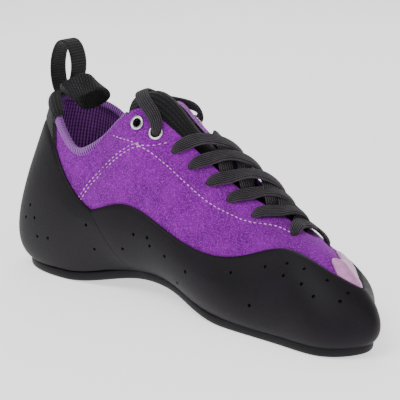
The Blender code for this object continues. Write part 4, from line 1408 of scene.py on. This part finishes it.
@dataclass
class Stitching:
    """Sewn lines, laid stitch by stitch along paths on the suede."""

    pitch: float = 0.0026
    long: float = 0.0017
    thick: float = 0.0006
    apart: float = 0.0009
    lift: float = 0.0001
    points: int = 160

    def tree(self, thread: Finish) -> Any:
        """The node tree that turns a line into stitches."""
        made = bpy.data.node_groups.new("stitches", "GeometryNodeTree")
        face = made.interface
        face.new_socket("Line", in_out="INPUT", socket_type="NodeSocketGeometry")
        for name in ("Pitch", "Long", "Thick"):
            face.new_socket(name, in_out="INPUT", socket_type="NodeSocketFloat")
        face.new_socket("Stitches", in_out="OUTPUT", socket_type="NodeSocketGeometry")
        start = made.nodes.new("NodeGroupInput").outputs
        curve = add_node(made, "GeometryNodeMeshToCurve", {}, {0: start["Line"]})
        even = add_node(
            made, "GeometryNodeResampleCurve", {"mode": "LENGTH"},
            {"Curve": curve.outputs[0], "Length": start["Pitch"]},
        )
        bead = add_node(made, "GeometryNodeMeshUVSphere", {}, {"Segments": 8, "Rings": 6, "Radius": 0.5})
        size = add_node(
            made, "ShaderNodeCombineXYZ", {}, {0: start["Long"], 1: start["Thick"], 2: start["Thick"]}
        )
        shape = add_node(
            made, "GeometryNodeTransform", {}, {"Geometry": bead.outputs[0], "Scale": size.outputs[0]}
        )
        tangent = made.nodes.new("GeometryNodeInputTangent")
        up = add_node(made, "GeometryNodeInputNamedAttribute", {"data_type": "FLOAT_VECTOR"}, {"Name": "up"})
        turn = add_node(
            made, "FunctionNodeAxesToRotation", {"primary_axis": "X", "secondary_axis": "Z"},
            {0: tangent.outputs[0], 1: up.outputs[0]},
        )
        lay = add_node(made, "GeometryNodeInstanceOnPoints", {}, {
            "Points": even.outputs[0], "Instance": shape.outputs[0], "Rotation": turn.outputs[0],
        })
        real = add_node(made, "GeometryNodeRealizeInstances", {}, {0: lay.outputs[0]})
        dress = add_node(
            made, "GeometryNodeSetMaterial", {}, {"Material": thread, "Geometry": real.outputs[0]}
        )
        add_node(made, "NodeGroupOutput", {}, {0: dress.outputs[0]})
        return made

    def seam_path(self, table: Sequence[Place], side: Side, shift: float) -> tuple[Grid, Grid]:
        """A sewn line's points and outward directions.

        Args:
            table: Its places on the inner side, as section number and way up.
            side: The side that it is laid on.
            shift: How far it is moved to the left of its way, seen from outside, in metres.

        Returns:
            The points and the directions.
        """
        rows = np.array(table)
        line = Spline(np.arange(len(rows)), rows)(np.linspace(0.0, len(rows) - 1.0, self.points))
        station = line[:, 0] if side is Side.IN else len(SECTIONS) - line[:, 0]
        a, b = LAST.around(station), line[:, 1]
        path, up = LAST.at(a, b, self.lift), LAST.normal(a, b)
        return path + shift * unit(np.cross(up, np.gradient(path, axis=0))), up

    def build(self, thread: Finish) -> Piece:
        """All the sewn lines as one piece."""
        points: list[Grid] = []
        ups: list[Grid] = []
        edges: list[tuple[int, int]] = []
        lines = (
            (STAY_SEAM, 0.0), (EYELET_SEAM, 0.0), (QUARTER_SEAM, self.apart), (QUARTER_SEAM, -self.apart)
        )
        for side in Side:
            for table, shift in lines:
                path, up = self.seam_path(table, side, shift)
                start = sum(len(p) for p in points)
                edges += [(start + k, start + k + 1) for k in range(len(path) - 1)]
                points.append(path)
                ups.append(up)
        mesh = bpy.data.meshes.new("stitches")
        mesh.from_pydata(np.concatenate(points).tolist(), edges, [])
        attribute = mesh.attributes.new("up", "FLOAT_VECTOR", "POINT")
        attribute.data.foreach_set("vector", np.concatenate(ups).ravel())
        made = placed("stitches", mesh)
        work = made.modifiers.new("stitches", "NODES")
        work.node_group = self.tree(thread)
        sizes = {"Pitch": self.pitch, "Long": self.long, "Thick": self.thick}
        for item in work.node_group.interface.items_tree:
            if item.name in sizes:
                work[item.identifier] = sizes[item.name]
        as_plain(made)
        made.data.shade_smooth()
        return made


@dataclass
class Studio:
    """The floor, the lights and the camera."""

    turn: float = 40.5
    climb: float = 16.0
    away: float = 0.8
    aim: Spot = (0.080, 0.0, 0.035)
    lens: float = 144.0
    shift: Place = (-0.0075, 0.065)
    sensor: float = 36.0
    sky: float = 0.42
    glow: float = 1.0
    floor_half: float = 4.0
    lamps: tuple[tuple[str, Spot, float, float], ...] = (
        ("key", (0.05, -0.70, 1.00), 0.8, 9.0),
        ("fill", (0.95, -0.15, 0.55), 0.7, 2.5),
        ("rim", (-0.40, 0.70, 0.80), 0.6, 3.5),
    )

    def build(self) -> None:
        """Places everything round the shoe."""
        scene = bpy.context.scene
        turn, climb = math.radians(self.turn), math.radians(self.climb)
        back = Vector((math.sin(turn) * math.cos(climb), -math.cos(turn) * math.cos(climb), math.sin(climb)))
        data = bpy.data.cameras.new("camera")
        data.lens = self.lens
        data.sensor_width = self.sensor
        data.shift_x, data.shift_y = self.shift
        data.clip_start = 0.01
        camera = placed("camera", data)
        camera.location = Vector(self.aim) + self.away * back
        camera.rotation_euler = back.to_track_quat("Z", "Y").to_euler()
        scene.camera = camera
        world = bpy.data.worlds.new("studio")
        world.use_nodes = True
        feed(world.node_tree, world.node_tree.nodes["Background"], {0: WHITE, 1: self.sky})
        scene.world = world
        for name, spot, size, power in self.lamps:
            light = bpy.data.lights.new(name, "AREA")
            light.size = size
            light.energy = power
            lamp = placed(name, light)
            lamp.location = spot
            lamp.rotation_euler = (Vector(spot) - Vector(self.aim)).to_track_quat("Z", "Y").to_euler()
        mesh = bpy.data.meshes.new("floor")
        half = self.floor_half
        corners = [(-half, -half, 0), (half, -half, 0), (half, half, 0), (-half, half, 0)]
        mesh.from_pydata(corners, [], [(0, 1, 2, 3)])
        white = FLOOR.make()
        shader = white.node_tree.nodes["Principled BSDF"]
        feed(white.node_tree, shader, {"Emission Color": WHITE, "Emission Strength": self.glow})
        mesh.materials.append(white)
        placed("floor", mesh)


def put(piece: Piece, slot: str, *nodes: str) -> None:
    """Places a finished piece on the shoe.

    Args:
        piece: The piece.
        slot: The record's material slot. It is not used.
        nodes: The nodes that it stands for.
    """
    if nodes:
        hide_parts(*nodes)
    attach(piece, "root")
    count = sum(len(p.vertices) - 2 for p in piece.data.polygons)
    LOG.info("%s: %d triangles", piece.name, count)


def main() -> None:
    """Builds the dressed shoe."""
    Studio().build()
    suede, edge = Suede().make(), RAW_EDGE.make()
    lining = MeshCloth("lining_mesh", paint(84, 16, 104), paint(206, 118, 230), 0.0018, 0.0018).make()
    roll = MeshCloth("roll_mesh", paint(80, 24, 104), paint(166, 98, 190), 0.0012, 0.0040).make()
    rubber, sole_rubber = Rubber().make(), Rubber("sole_rubber", paint(6, 4, 8), paint(15, 10, 18)).make()
    smooth = SMOOTH_PATCH.make()
    tape = Webbing("loop_webbing", 0.0014, False).make()
    braid = Webbing("lace_braid", 0.0010, True, paint(10, 8, 11), paint(80, 72, 82)).make()
    tongue_cloth = Webbing("tongue_cloth", 0.0016, True, paint(8, 7, 9), paint(34, 31, 36)).make()
    metal, thread, board = METAL.make(), THREAD.make(), BOARD.make()
    put(Upper().build(suede, edge, lining), "suede", "upper")
    for piece, node, slot in zip(
        Rands().build(rubber, smooth), ("heel_rand", "toe_rand", "toe_patch"),
        ("rubber", "rubber", "smooth_patch"),
    ):
        put(piece, slot, node)
    outsole, insole = Sole().build(sole_rubber, board)
    put(outsole, "rubber", "outsole")
    put(insole, "board", "insole")
    put(Collar().build(roll), "mesh", "collar_roll")
    put(Tongue().build(tongue_cloth), "webbing", "tongue")
    for piece, node in zip(PullLoops().build(tape), ("pull_loop_rear", "pull_loop_front", "heel_tape")):
        put(piece, "webbing", node)
    for piece, node in Eyelets().build(metal):
        put(piece, "metal", node)
    put(Lace().build(braid), "webbing", "lace")
    put(Stitching().build(thread), "suede")
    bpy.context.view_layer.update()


if __name__ == "__main__":
    main()
